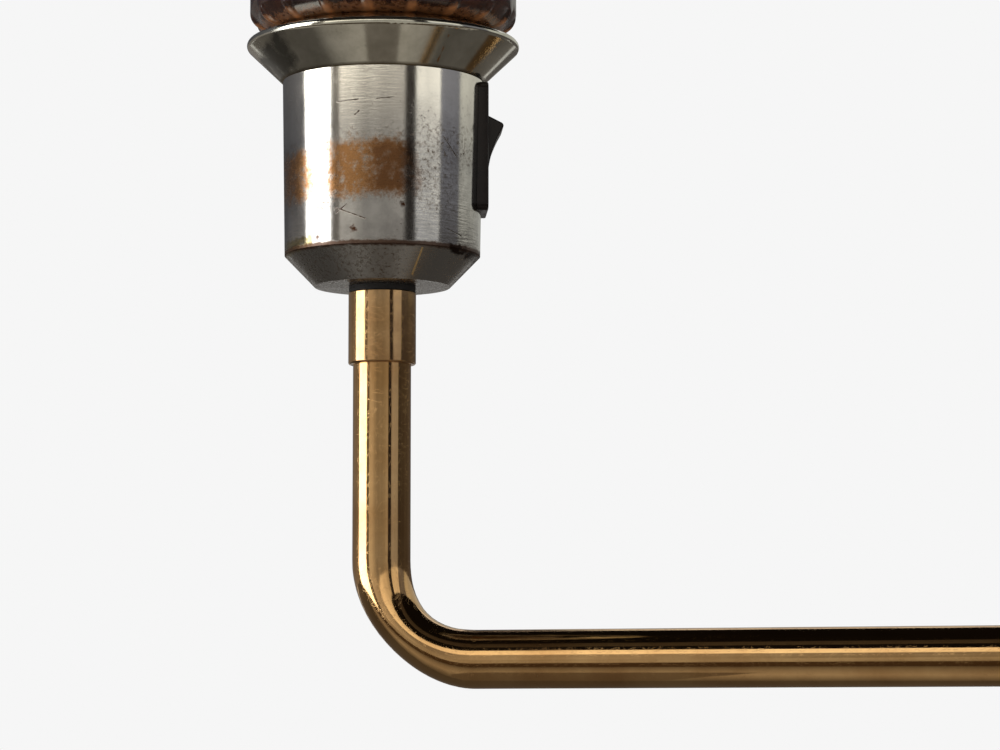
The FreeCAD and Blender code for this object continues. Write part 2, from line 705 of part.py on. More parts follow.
def make_ferrule(at, toward):
    """The ferrule that covers the joint of an arm and its barrel, saddled to the barrel."""
    outer = TUBE_R + FERRULE_WALL
    sleeve = ring(outer, TUBE_R + SOLDER_GAP, CAVITY_R, BARREL_R + FERRULE_L)
    shell = place(sleeve, at, toward)
    return shell.cut(place(disc(BARREL_R + SADDLE_GAP, -BARREL_D, BARREL_D), at))


def make_inner_tube():
    """The straight inner arm."""
    tube = ring(TUBE_R, TUBE_R - TUBE_WALL, TUBE_START, INNER_REACH - TUBE_START)
    return place(tube, (0, -WALL_TO_PIVOT, INNER_Z), (0, -1, 0))


HAIR = 1e-8


def bend_section(turn, inset):
    """One section of the bend: the tube flattens there and keeps its girth. Round ends are a hair wide."""
    sag = BEND_FLATTENING * math.sin(2 * turn) ** 2
    thin = TUBE_R - sag
    wide = max(math.sqrt(2 * TUBE_R ** 2 - thin ** 2), thin + HAIR)
    out = Vector(-math.sin(turn), 0, -math.cos(turn))
    middle = Vector(BEND_R - OUTER_REACH, 0, BEND_R) + out * BEND_R
    major = middle + Vector(0, wide - inset, 0)
    minor = middle + out * (thin - inset)
    return Part.Wire(Part.Ellipse(major, minor, middle).toShape())


def arm_core(inset, overrun):
    """The outer arm's bent rod, inset from the tube's outside, and longer at both ends by an overrun."""
    steps = [math.radians(90) * k / (BEND_SECTIONS - 1) for k in range(BEND_SECTIONS)]
    bend = Part.makeLoft([bend_section(turn, inset) for turn in steps], True, False)
    radius = TUBE_R - inset
    flat = disc(radius, TUBE_START - overrun, OUTER_REACH - BEND_R)
    flat = place(flat, (0, 0, 0), (-1, 0, 0))
    leg = place(disc(radius, BEND_R, LEG_TOP + overrun), (-OUTER_REACH, 0, 0))
    return flat.fuse([bend, leg])


def make_outer_tube():
    """The outer arm, bent up at its end and tapped there for the lampholder's nipple."""
    tube = arm_core(0, 0).cut(arm_core(TUBE_WALL, OVERCUT))
    tapped = disc(THREAD_R, LEG_TOP - TAPPED_DEPTH, LEG_TOP + OVERCUT)
    tube = tube.cut(place(tapped, (-OUTER_REACH, 0, 0)))
    return place(tube.removeSplitter(), (0, ELBOW_Y, OUTER_Z))


# Lampholder, made about its own axis

def make_end_sleeve():
    """The short sleeve over the top of the outer arm."""
    outer = TUBE_R + SLEEVE_WALL
    top = LEG_H + SLEEVE_L
    edge = SLEEVE_EDGE
    inner = TUBE_R + SOLDER_GAP
    return turned(
        (inner, LEG_H),
        (outer - edge, LEG_H),
        (on_circle((outer - edge, LEG_H + edge), edge, -45), (outer, LEG_H + edge)),
        (outer, top - SLEEVE_BREAK),
        (outer - SLEEVE_BREAK, top),
        (inner, top),
    )


def make_holder_nipple():
    """The hollow nipple between the arm's end and the lampholder's cup."""
    low = LEG_TOP - TAPPED_DEPTH + NIPPLE_END_GAP
    top = CUP_Z + CUP_SHEET + NUT_T + NIPPLE_ABOVE_NUT
    return ring(THREAD_R - SOLDER_GAP, AXLE_BORE / 2, low, top)


def make_insulating_washer():
    """The washer between the sleeve and the cup."""
    return ring(INSULATOR_D / 2, THREAD_R + SOLDER_GAP, CUP_Z - INSULATOR_T, CUP_Z)


def make_holder_nut():
    """The nut inside the cup."""
    low = CUP_Z + CUP_SHEET
    return hexagon(NUT_FLATS, THREAD_R, low, low + NUT_T)


def cup_outside_radius(height):
    """The radius of the cup's wall above its chamfer, at a height."""
    share = (height - CUP_Z - CUP_CHAMFER_H) / (CUP_H - CUP_CHAMFER_H)
    return CUP_LOW_R + (CUP_TOP_R - CUP_LOW_R) * share


def cup_profile(inset):
    """The cup as a solid, inset from its outside by a thickness."""
    shoulder = CUP_Z + CUP_CHAMFER_H
    slope = inset * math.tan(math.radians(22.5))
    return turned(
        (0, CUP_Z + inset),
        (CUP_BASE_R - slope, CUP_Z + inset),
        (CUP_LOW_R - inset, shoulder + slope),
        (CUP_TOP_R - inset, COLLAR_Z),
        (0, COLLAR_Z),
    )


FRAME_FACE = cup_outside_radius(SWITCH_Z) + FRAME_PROUD
HOUSING_FRONT = FRAME_FACE - FRAME_T
ROCKER_PIVOT_X = FRAME_FACE - ROCKER_DEPTH
BLADE_KNUCKLE_R = BLADE_HUB_R + RUNNING_GAP
BLADE_PIVOT_X = ROCKER_PIVOT_X - ROCKER_NOSE - NOSE_GAP - BLADE_KNUCKLE_R - BLADE_T
HOUSING_BACK = BLADE_PIVOT_X - HOUSING_BEHIND_BLADE
CONTACT_TAIL = HOUSING_BACK - CONTACT_TAIL_L


def switch_window(x, half_w, half_h):
    """A box on the switch's axis that runs out along X."""
    return block(x, (-half_w, half_w), (SWITCH_Z - half_h, SWITCH_Z + half_h))


def make_holder_cup():
    """The plated cup with its chamfered foot and the window for the switch."""
    cup = cup_profile(0).cut(cup_profile(CUP_SHEET))
    cup = cup.cut(disc(THREAD_R + SOLDER_GAP, CUP_Z - OVERCUT, CUP_Z + CUP_SHEET + OVERCUT))
    gap = CUP_WINDOW_GAP
    return cup.cut(switch_window((0, 2 * CUP_TOP_R), HOUSING_HALF_W + gap, HOUSING_HALF_H + gap))


def make_holder_collar():
    """The flared plated collar that carries the shade ring, with the ledge for the insert inside."""
    spigot = CUP_TOP_R - CUP_SHEET - SOLDER_GAP
    bore = MANTLE_R + SOLDER_GAP
    edge = (COLLAR_FLARE_R - COLLAR_EDGE_R, COLLAR_Z + COLLAR_FLARE_H)
    edge_middle = (COLLAR_EDGE_FROM + COLLAR_EDGE_TO) / 2
    return turned(
        (LEDGE_BORE_R, LEDGE_Z),
        (spigot, LEDGE_Z),
        (spigot, COLLAR_Z),
        (CUP_TOP_R, COLLAR_Z),
        on_circle(edge, COLLAR_EDGE_R, COLLAR_EDGE_FROM),
        (on_circle(edge, COLLAR_EDGE_R, edge_middle), on_circle(edge, COLLAR_EDGE_R, COLLAR_EDGE_TO)),
        (COLLAR_SEAT_R, SEAT_Z),
        (bore, SEAT_Z),
        (bore, FLANGE_Z),
        (LEDGE_BORE_R, FLANGE_Z),
    )


def make_lamp_insert():
    """The ceramic insert that carries the contacts: its flange lies on the collar's ledge."""
    low = LEDGE_Z + INSERT_TAIL_GAP
    shelf = FLANGE_Z + INSERT_FLANGE_T
    insert = disc(LEDGE_BORE_R - INSERT_GAP, low, FLANGE_Z)
    insert = insert.fuse(disc(MANTLE_R - INSERT_GAP, FLANGE_Z, shelf))
    insert = insert.fuse(disc(MANTLE_R - MANTLE_WALL - INSERT_GAP, shelf, INSERT_TOP)).removeSplitter()
    for side in (-1, 1):
        hole = disc(INSERT_SCREW_D / 2, low - OVERCUT, INSERT_TOP + OVERCUT)
        insert = insert.cut(place(hole, (0, side * INSERT_SCREW_AT, 0)))
        wire = disc(WIRE_HOLE_D / 2, low - OVERCUT, INSERT_TOP + OVERCUT)
        insert = insert.cut(place(wire, (side * INSERT_SCREW_AT, 0, 0)))
    return insert


def make_centre_contact():
    """The sprung tongue that meets a lamp's centre contact, inside the shell's base."""
    foot = -math.sqrt((SHELL_BASE_BORE / 2 - TONGUE_GAP) ** 2 - (TONGUE_W / 2) ** 2)
    bend = foot + TONGUE_FOOT_L
    pad = bend + TONGUE_SLOPE_L
    tip = pad + TONGUE_PAD_L
    high = INSERT_TOP + TONGUE_RISE - TONGUE_T
    under = [(foot, INSERT_TOP), (bend, INSERT_TOP), (pad, high), (tip, high),
             (tip + TONGUE_TIP, high - TONGUE_TIP)]
    over = [(x, z + TONGUE_T) for x, z in reversed(under)]
    tongue = face_of(under + over, normal_is_y=True).extrude(Vector(0, TONGUE_W, 0))
    tongue.translate(Vector(0, -TONGUE_W / 2, 0))
    return tongue


SHELL_Z = INSERT_TOP
SHELL_FIRST = SHELL_Z + SHELL_SHEET + SHELL_SKIRT
SHELL_TOP = SHELL_FIRST + SHELL_TURNS * SHELL_PITCH


def shell_side(offset, low):
    """The solid within one side of the shell's wavy wall: lands at the crests, arcs in the roots."""
    crest = SHELL_MINOR_D / 2 + offset
    root = SHELL_MAJOR_D / 2 + offset
    high = SHELL_TOP + SHELL_MOUTH_H
    points = [(0, low), (root, low), (root, SHELL_FIRST - SHELL_SKIRT / 2), (crest, SHELL_FIRST)]
    for k in range(SHELL_TURNS):
        foot = SHELL_FIRST + k * SHELL_PITCH
        middle = foot + (SHELL_LAND + SHELL_PITCH) / 2
        points.append((crest, foot + SHELL_LAND))
        points.append(((root, middle), (crest, foot + SHELL_PITCH)))
    return turned(*points, (crest + SHELL_MOUTH_H / 2, high), (0, high))


def make_screw_shell():
    """The brass screw shell, with a foot that is screwed to the insert."""
    shell = shell_side(SHELL_SHEET, SHELL_Z).cut(shell_side(0, SHELL_Z + SHELL_SHEET))
    shell = shell.cut(disc(SHELL_BASE_BORE / 2, SHELL_Z - OVERCUT, SHELL_Z + OVERCUT))
    for side in (-1, 1):
        hole = disc(INSERT_SCREW_D / 2 + SOLDER_GAP, SHELL_Z - OVERCUT, SHELL_Z + OVERCUT)
        shell = shell.cut(place(hole, (0, side * INSERT_SCREW_AT, 0)))
    return shell


def make_holder_mantle():
    """The brown outer mantle with its coarse thread, a plain lead at the top and a lip over the shell."""
    inner = MANTLE_R - MANTLE_WALL
    lip = SHELL_MAJOR_D / 2 + SHELL_SHEET + MANTLE_LIP_GAP
    mantle = turned(
        (inner, MANTLE_Z),
        (MANTLE_R, MANTLE_Z),
        (MANTLE_R, MANTLE_TOP - MANTLE_EDGE),
        (MANTLE_R - MANTLE_EDGE, MANTLE_TOP),
        (lip + MANTLE_LIP_EDGE, MANTLE_TOP),
        (lip, MANTLE_TOP - MANTLE_LIP_EDGE),
        (lip, MANTLE_TOP - MANTLE_LIP_T),
        (inner, MANTLE_TOP - MANTLE_LIP_T),
    )
    mouth = MANTLE_R + OVERCUT
    floor = MANTLE_R - MANTLE_GROOVE
    half_mouth = MANTLE_GROOVE_MOUTH
    half_floor = MANTLE_GROOVE_FLAT / 2
    height = MANTLE_TOP - MANTLE_EDGE - MANTLE_LEAD - MANTLE_PITCH / 2
    while height > MANTLE_Z + MANTLE_PITCH:
        groove = turned((mouth, height - half_mouth), (floor, height - half_floor),
                        (floor, height + half_floor), (mouth, height + half_mouth))
        mantle = mantle.cut(groove)
        height -= MANTLE_PITCH
    return mantle


def make_insert_screw(side):
    """A screw that holds the screw shell to the insert."""
    screw = slotted_screw(INSERT_SCREW_D, INSERT_SCREW_L, INSERT_SCREW_HEAD_D, INSERT_SCREW_HEAD_T)
    return place(screw, (0, side * INSERT_SCREW_AT, SHELL_Z + SHELL_SHEET))


def make_shade_ring():
    """The brown screw ring that clamps a shade on the collar, its bevel hollowed between narrow grip ribs."""
    low = SEAT_Z + RING_SEAT_GAP
    high = low + RING_H
    shoulder = low + RING_BEVEL_H
    bore = MANTLE_R + RING_THREAD_GAP
    foot = COLLAR_SEAT_R - RING_BREAK
    bulge = (COLLAR_SEAT_R + (RING_R - COLLAR_SEAT_R) * RING_BULGE_W, low + RING_BEVEL_H * RING_BULGE_H)
    ring_body = turned(
        (bore + RING_BREAK, low),
        (foot, low),
        (bulge, (RING_R, shoulder)),
        (RING_R, high - RING_EDGE),
        (RING_R - RING_EDGE, high),
        (bore + RING_BREAK, high),
        (bore, high - RING_BREAK),
        (bore, low + RING_BREAK),
    )
    groove_at = RING_R - RING_GROOVE_DEPTH + RING_GROOVE_R
    for k in range(RING_RIBS):
        spot = on_circle((0, 0), groove_at, 360 / RING_RIBS * (k + 0.5))
        groove = disc(RING_GROOVE_R, low - OVERCUT, shoulder - RING_GROOVE_STOP)
        ring_body = ring_body.cut(place(groove, (spot[0], spot[1], 0)))
    return ring_body


# Switch

def make_switch_frame():
    """The black frame round the rocker: its back follows the cup and its top end reaches the collar."""
    width = (-FRAME_HALF_W, FRAME_HALF_W)
    body = block((HOUSING_FRONT - FRAME_BED, FRAME_FACE), width, (FRAME_FOOT_Z, FRAME_TOP_Z))
    corners = [e for e in body.Edges if abs(e.tangentAt(e.FirstParameter).x) > 0.99]
    body = body.makeFillet(FRAME_CORNER_R, corners)
    body = body.cut(cup_profile(0))
    sleeve = switch_window((HOUSING_FRONT, FRAME_FACE - SLEEVE_BEHIND_FACE), HOUSING_HALF_W, HOUSING_HALF_H)
    body = body.fuse(sleeve).removeSplitter()
    opening = switch_window((0, FRAME_FACE + OVERCUT), ROCKER_W / 2 + ROCKER_SIDE_GAP, CAVITY_HALF_H)
    return body.cut(opening)


def make_switch_housing():
    """The moulded housing behind the frame."""
    body = switch_window((HOUSING_BACK, HOUSING_FRONT), HOUSING_HALF_W, HOUSING_HALF_H)
    hollow = switch_window((HOUSING_BACK + HOUSING_FLOOR, HOUSING_FRONT + OVERCUT),
                           ROCKER_W / 2 + ROCKER_SIDE_GAP, CAVITY_HALF_H)
    body = body.cut(hollow)
    pin = disc(ROCKER_PIN_D / 2, -HOUSING_HALF_W - OVERCUT, HOUSING_HALF_W + OVERCUT)
    body = body.cut(place(pin, (ROCKER_PIVOT_X, 0, SWITCH_Z), (0, 1, 0)))
    body = body.cut(contact_rod(SOLDER_GAP))
    return body.cut(common_bar(SOLDER_GAP))


def make_rocker_pin():
    """The pin that the rocker turns on."""
    pin = disc(ROCKER_PIN_D / 2 - PIN_GAP, -HOUSING_HALF_W, HOUSING_HALF_W)
    return place(pin, (ROCKER_PIVOT_X, 0, SWITCH_Z), (0, 1, 0))


def make_rocker():
    """The rocker with its hollow face, its pivot boss and its nose, at rest with its top end out."""
    tip_x = ROCKER_TIP_X
    tip_z = ROCKER_TIP_Z
    soft = ROCKER_TIP_R
    flank = (tip_x - soft, tip_z + soft / 4)
    crown = (tip_x - soft / 9, tip_z - soft / 6)
    lip = (tip_x - soft / 18, tip_z - soft)
    back_z = ROCKER_SHOULDER_Z - ROCKER_BACK_STEP
    side = [
        (ROCKER_BACK_X, -back_z),
        (ROCKER_SHOULDER_X, -ROCKER_SHOULDER_Z),
        (flank[0], -flank[1]),
        ((crown[0], -crown[1]), (lip[0], -lip[1])),
        ((ROCKER_WAIST_X, 0), lip),
        (crown, flank),
        (ROCKER_SHOULDER_X, ROCKER_SHOULDER_Z),
        (ROCKER_BACK_X, back_z),
    ]
    half_w = ROCKER_W / 2
    body = face_of(side, normal_is_y=True).extrude(Vector(0, ROCKER_W, 0))
    body.translate(Vector(0, -half_w, 0))
    hub = place(disc(ROCKER_PIN_D / 2 + ROCKER_HUB_WALL, -half_w, half_w), (0, 0, 0), (0, 1, 0))
    nose_half = ROCKER_NOSE_W / 2
    nose_x = -ROCKER_NOSE + ROCKER_NOSE_R
    nose = block((nose_x, 0), (-nose_half, nose_half), (-ROCKER_NOSE_R, ROCKER_NOSE_R))
    point = place(disc(ROCKER_NOSE_R, -nose_half, nose_half), (nose_x, 0, 0), (0, 1, 0))
    body = body.fuse([hub, nose, point]).removeSplitter()
    bore = disc(ROCKER_PIN_D / 2 + RUNNING_GAP, -ROCKER_W, ROCKER_W)
    body = body.cut(place(bore, (0, 0, 0), (0, 1, 0)))
    return place(swung(body, ROCKER_TILT, (0, 0, 0)), (ROCKER_PIVOT_X, 0, SWITCH_Z))


def make_contact_blade():
    """The tilting contact blade: a strip whose knuckle rides on the bar's round end."""
    half_w = BLADE_W / 2
    half = BLADE_TALL / 2
    outer = BLADE_KNUCKLE_R + BLADE_T
    knuckle = place(disc(outer, -half_w, half_w), (0, 0, 0), (0, 1, 0))
    knuckle = knuckle.common(block((0, outer), (-half_w, half_w), (-outer, outer)))
    strip = block((0, BLADE_T), (-half_w, half_w), (-half, half))
    blade = strip.fuse(knuckle).removeSplitter()
    blade = blade.cut(place(disc(BLADE_KNUCKLE_R, -BLADE_W, BLADE_W), (0, 0, 0), (0, 1, 0)))
    return place(swung(blade, -BLADE_TILT, (0, 0, 0)), (BLADE_PIVOT_X, 0, SWITCH_Z))


def contact_height():
    """The height of the fixed contact, near the blade's upper end."""
    return SWITCH_Z + (BLADE_TALL - CONTACT_D) / 2


def contact_reach():
    """How far out the fixed contact comes, just short of the tilted blade."""
    return BLADE_PIVOT_X - BLADE_TALL / 2 * math.sin(math.radians(BLADE_TILT)) - CONTACT_GAP


def contact_rod(grow):
    """The fixed contact's round rivet, grown by a gap for its hole."""
    rod = disc(CONTACT_D / 2 + grow, CONTACT_TAIL, contact_reach())
    return place(rod, (0, 0, contact_height()), (1, 0, 0))


def common_bar(grow):
    """The bar that carries the blade on its round end, grown by a gap for its slot."""
    half_w = BLADE_W / 2 + grow
    half_t = COMMON_T / 2 + grow
    bar = block((CONTACT_TAIL, BLADE_PIVOT_X), (-half_w, half_w), (SWITCH_Z - half_t, SWITCH_Z + half_t))
    hub = place(disc(BLADE_HUB_R, -half_w, half_w), (BLADE_PIVOT_X, 0, SWITCH_Z), (0, 1, 0))
    return bar.fuse(hub).removeSplitter()


# Everything in its place

HOLDER_AT = (-OUTER_REACH, ELBOW_Y, OUTER_Z)


def wall_pieces():
    """The pieces that stay on the wall."""
    pieces = {
        "wall_strap": make_wall_strap(),
        "cable_bush": make_cable_bush(),
        "terminal_block": make_terminal_block(),
        "block_screw": make_block_screw(),
        "earth_screw": make_earth_screw(),
        "earth_washer": make_earth_washer(),
        "canopy_nipple": make_canopy_nipple(),
        "lock_washer": make_lock_washer(),
        "nipple_locknut": make_nipple_locknut(),
        "canopy": make_canopy(),
        "wall_post": make_wall_post(),
    }
    number = 0
    for count, pole in enumerate((-1, 1), start=1):
        pieces["terminal_tube_%d" % count] = make_terminal_tube(pole)
        for height in pole_screw_heights():
            number += 1
            pieces["terminal_screw_%d" % number] = make_terminal_screw(pole, height)
    at = (0, -WALL_TO_PIVOT, BARREL_ABOVE_TUBE)
    pieces.update(swivel_lower("wall", (0, 1, 0), at))
    return pieces


def inner_arm_pieces():
    """The pieces of the inner arm, from the wall's swivel to the elbow."""
    start = (0, -WALL_TO_PIVOT, BARREL_ABOVE_TUBE)
    end = (0, ELBOW_Y, INNER_Z + BARREL_ABOVE_TUBE)
    stop_from = STOP_PIN_AT - WALL_SWING
    stop_to = STOP_PIN_AT + WALL_SWING
    pieces = swivel_upper("inner", (0, -1, 0), stop_from, stop_to, start)
    pieces["inner_ferrule"] = make_ferrule((0, -WALL_TO_PIVOT, INNER_Z), (0, -1, 0))
    pieces["inner_tube"] = make_inner_tube()
    pieces["elbow_ferrule"] = make_ferrule((0, ELBOW_Y, INNER_Z), (0, 1, 0))
    pieces.update(swivel_lower("elbow", (0, 1, 0), end))
    return pieces


def outer_arm_pieces():
    """The pieces of the outer arm without its lampholder."""
    start = (0, ELBOW_Y, INNER_Z + BARREL_ABOVE_TUBE)
    stop_from = STOP_PIN_AT - ELBOW_OPEN
    stop_to = STOP_PIN_AT + ELBOW_FOLD
    pieces = swivel_upper("outer", (-1, 0, 0), stop_from, stop_to, start)
    pieces["outer_ferrule"] = make_ferrule((0, ELBOW_Y, OUTER_Z), (-1, 0, 0))
    pieces["outer_tube"] = make_outer_tube()
    return pieces


def lampholder_pieces():
    """The pieces on the outer arm's upright end."""
    pieces = {
        "end_sleeve": make_end_sleeve(),
        "holder_nipple": make_holder_nipple(),
        "insulating_washer": make_insulating_washer(),
        "holder_nut": make_holder_nut(),
        "holder_cup": make_holder_cup(),
        "holder_collar": make_holder_collar(),
        "lamp_insert": make_lamp_insert(),
        "centre_contact": make_centre_contact(),
        "screw_shell": make_screw_shell(),
        "holder_mantle": make_holder_mantle(),
        "insert_screw_1": make_insert_screw(-1),
        "insert_screw_2": make_insert_screw(1),
        "shade_ring": make_shade_ring(),
        "switch_frame": make_switch_frame(),
        "switch_housing": make_switch_housing(),
        "rocker_pin": make_rocker_pin(),
        "rocker": make_rocker(),
        "contact_blade": make_contact_blade(),
        "switch_contact": contact_rod(0),
        "switch_common": common_bar(0),
    }
    turned_round = {name: swung(shape, HOLDER_TURN, (0, 0, 0), (0, 0, 1)) for name, shape in pieces.items()}
    return {name: place(shape, HOLDER_AT) for name, shape in turned_round.items()}


def main():
    """Write every piece to its own file."""
    os.makedirs("parts", exist_ok=True)
    pieces = {}
    for group in (wall_pieces, inner_arm_pieces, outer_arm_pieces, lampholder_pieces):
        pieces.update(group())
    for name, shape in sorted(pieces.items()):
        shape.exportStep("parts/%s.step" % name)
        print("%-24s %10.1f mm3, valid %s" % (name, shape.Volume, shape.isValid()))
    print(len(pieces), "pieces")


main()
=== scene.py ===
# %% [markdown]
# # A brass wall lamp on two swinging arms
# The lamp hangs on a round canopy. Two brass arms turn on upright swivels, and the outer one bends
# up into a lampholder with a plated cup, a rocker switch and a brown screw ring for the shade.
# Its parts were made as exact solids first. This lesson loads them, keeps every one in its place,
# and gives them their finishes, a few finer shapes, a stage and a camera.

import json
import math

import bpy
from mathutils import Matrix, Vector


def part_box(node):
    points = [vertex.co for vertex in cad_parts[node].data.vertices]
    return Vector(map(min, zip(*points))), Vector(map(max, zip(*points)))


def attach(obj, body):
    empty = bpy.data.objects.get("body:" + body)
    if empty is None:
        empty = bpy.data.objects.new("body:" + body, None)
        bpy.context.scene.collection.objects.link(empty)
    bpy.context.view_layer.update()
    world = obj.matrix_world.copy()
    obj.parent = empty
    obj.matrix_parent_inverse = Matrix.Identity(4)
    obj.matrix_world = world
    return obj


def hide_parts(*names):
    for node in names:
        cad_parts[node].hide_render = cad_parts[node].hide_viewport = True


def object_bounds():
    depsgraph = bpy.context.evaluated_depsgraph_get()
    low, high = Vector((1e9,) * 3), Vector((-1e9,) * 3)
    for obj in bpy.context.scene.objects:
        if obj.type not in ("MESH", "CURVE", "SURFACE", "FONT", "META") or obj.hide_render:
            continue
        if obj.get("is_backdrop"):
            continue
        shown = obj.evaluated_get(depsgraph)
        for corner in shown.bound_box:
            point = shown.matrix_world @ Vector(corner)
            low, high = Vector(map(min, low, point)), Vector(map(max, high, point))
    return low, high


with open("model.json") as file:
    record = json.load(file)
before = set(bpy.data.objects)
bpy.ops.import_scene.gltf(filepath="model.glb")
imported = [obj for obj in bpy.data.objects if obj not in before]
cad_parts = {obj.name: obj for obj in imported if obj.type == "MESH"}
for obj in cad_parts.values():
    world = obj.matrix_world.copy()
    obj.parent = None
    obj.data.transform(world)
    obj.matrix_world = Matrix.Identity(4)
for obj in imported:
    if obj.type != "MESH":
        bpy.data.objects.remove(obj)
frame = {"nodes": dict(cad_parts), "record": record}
cad_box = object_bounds()
print("solids:", len(frame["nodes"]), "box:", [[round(float(x), 4) for x in corner] for corner in cad_box])

# %% [markdown]
# ## Places that everything else is worked out from
# The upright axis of the lampholder, the height of its arm and the foot of its cup are read from
# the solids, so nothing has to be fitted by eye. Sizes of fine detail are written in millimetres,
# as on a drawing, and turned to metres by one factor.

# %% Axis, heights and the millimetre
MM = 0.001
TUBE_R = 6.0 * MM

cup_low, cup_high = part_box("holder_cup")
tube_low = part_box("outer_tube")[0]
HOLDER_X = (cup_low[0] + cup_high[0]) / 2
HOLDER_Y = (cup_low[1] + cup_high[1]) / 2
CUP_FOOT = cup_low[2]
ARM_Z = tube_low[2] + TUBE_R
FLOOR_Z = cad_box[0][2] - 0.3 * MM
print("holder axis: %.4f %.4f, arm at %.4f, cup foot at %.4f" % (HOLDER_X, HOLDER_Y, ARM_Z, CUP_FOOT))

# %% [markdown]
# ## The camera
# The photograph was taken from a little to the right and from below, with a long lens, so upright
# lines stay almost parallel. The lamp's own corner, where the arm's line crosses the lampholder's
# axis, is at a known pixel. Walking back from that point along the view direction gives the
# camera's place, with no trial and error.

# %% Stand the camera where the photograph was taken
FRAME_PX = (1000, 750)
FOCAL_PX = 3450.0
CORNER_PX = (381.0, 660.0)
CORNER_DEPTH = 707.6 * MM
VIEW_TURN = math.radians(15.0)
VIEW_RISE = math.radians(6.12)

look = Vector((-math.sin(VIEW_TURN) * math.cos(VIEW_RISE),
               math.cos(VIEW_TURN) * math.cos(VIEW_RISE), math.sin(VIEW_RISE)))
right = Vector((math.cos(VIEW_TURN), math.sin(VIEW_TURN), 0))
up = right.cross(look)
across = (CORNER_PX[0] - FRAME_PX[0] / 2) / FOCAL_PX
rise = (FRAME_PX[1] / 2 - CORNER_PX[1]) / FOCAL_PX
corner = Vector((HOLDER_X, HOLDER_Y, ARM_Z))
camera_data = bpy.data.cameras.new("Camera")
camera_data.sensor_width = 36.0
camera_data.lens = FOCAL_PX / FRAME_PX[0] * camera_data.sensor_width
camera = bpy.data.objects.new("Camera", camera_data)
bpy.context.scene.collection.objects.link(camera)
turn = Matrix((right, up, -look)).transposed().to_4x4()
camera.matrix_world = Matrix.Translation(corner - CORNER_DEPTH * (look + across * right + rise * up)) @ turn
bpy.context.scene.camera = camera
print("camera at", [round(c, 4) for c in camera.matrix_world.translation], "lens %.1f mm" % camera_data.lens)

# %% [markdown]
# ## Two helpers for every material
# Colours are picked on a screen as sRGB hex values, but a shader works with linear light, so one
# function turns them. A second one adds a node, fills in its settings and plugs in what feeds it.
# Pattern sizes are given as the size of one feature, and turned to the scale that a texture wants.

# %% Colour, node and pattern helpers
def linear(hex_colour):
    """An sRGB hex colour as linear red, green, blue and alpha."""
    channels = [int(hex_colour[i:i + 2], 16) / 255 for i in (1, 3, 5)]
    return tuple(c / 12.92 if c <= 0.04045 else ((c + 0.055) / 1.055) ** 2.4 for c in channels) + (1.0,)


def add(tree, kind, inputs=None, stops=None, **settings):
    """Add a node. Inputs are values or the sockets that feed them, and stops fill a colour ramp.

    Every kind of shader node starts with the same word, so the calls leave it out."""
    made = tree.nodes.new("ShaderNode" + kind)
    for name, value in settings.items():
        setattr(made, name, value)
    for name, value in (inputs or {}).items():
        if isinstance(value, bpy.types.NodeSocket):
            tree.links.new(value, made.inputs[name])
        else:
            made.inputs[name].default_value = value
    for k, (place, colour) in enumerate(stops or []):
        ramp = made.color_ramp.elements
        stop = ramp[k] if k < len(ramp) else ramp.new(place)
        stop.position = place
        stop.color = linear(colour) if isinstance(colour, str) else (colour, colour, colour, 1.0)
    return made


def scale_of(feature_mm):
    """The texture scale at which one feature is this many millimetres wide."""
    return 1.0 / (feature_mm * MM)


def start_material(name, **shader_values):
    """A material with its shader's constant values set, and the object's own coordinates."""
    material = bpy.data.materials.new(name)
    material.use_nodes = True
    tree = material.node_tree
    shader = tree.nodes["Principled BSDF"]
    for socket, value in shader_values.items():
        shader.inputs[socket.replace("_", " ")].default_value = value
    place = add(tree, "TexCoord").outputs["Object"]
    return material, tree, shader, place


print("white paper is", [round(c, 3) for c in linear("#f6f6f6")])

# %% [markdown]
# ## A pale stage
# The lamp is shown against a plain pale ground. The floor is one large disc just under the
# canopy's rim, matt enough to catch a soft shadow. The world gives even light for matt surfaces.
# The camera, and every mirror-like surface, see it as the pale paper of a studio.

# %% Floor and world
PAPER = "#f6f6f6"


def mesh_object(name, points, faces):
    """A mesh object from its points and faces, in the scene."""
    mesh = bpy.data.meshes.new(name)
    mesh.from_pydata([tuple(p) for p in points], [], faces)
    mesh.update()
    made = bpy.data.objects.new(name, mesh)
    bpy.context.scene.collection.objects.link(made)
    return made


FLOOR_REACH = 6.0
FLOOR_SIDES = 64
rim = [(FLOOR_REACH * math.cos(a), FLOOR_REACH * math.sin(a), FLOOR_Z)
       for a in (math.tau * k / FLOOR_SIDES for k in range(FLOOR_SIDES))]
floor = mesh_object("Studio_floor", rim, [list(range(FLOOR_SIDES))])
floor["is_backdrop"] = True
matt_paper, tree, shader, place = start_material("Matt_paper", Roughness=0.9)
grain = add(tree, "TexNoise", {"Vector": place, "Scale": scale_of(300), "Detail": 3.0})
tone = add(tree, "ValToRGB", {"Fac": grain.outputs["Fac"]}, stops=[(0.3, "#efefee"), (0.7, "#f3f3f2")])
tree.links.new(tone.outputs["Color"], shader.inputs["Base Color"])
floor.data.materials.append(matt_paper)

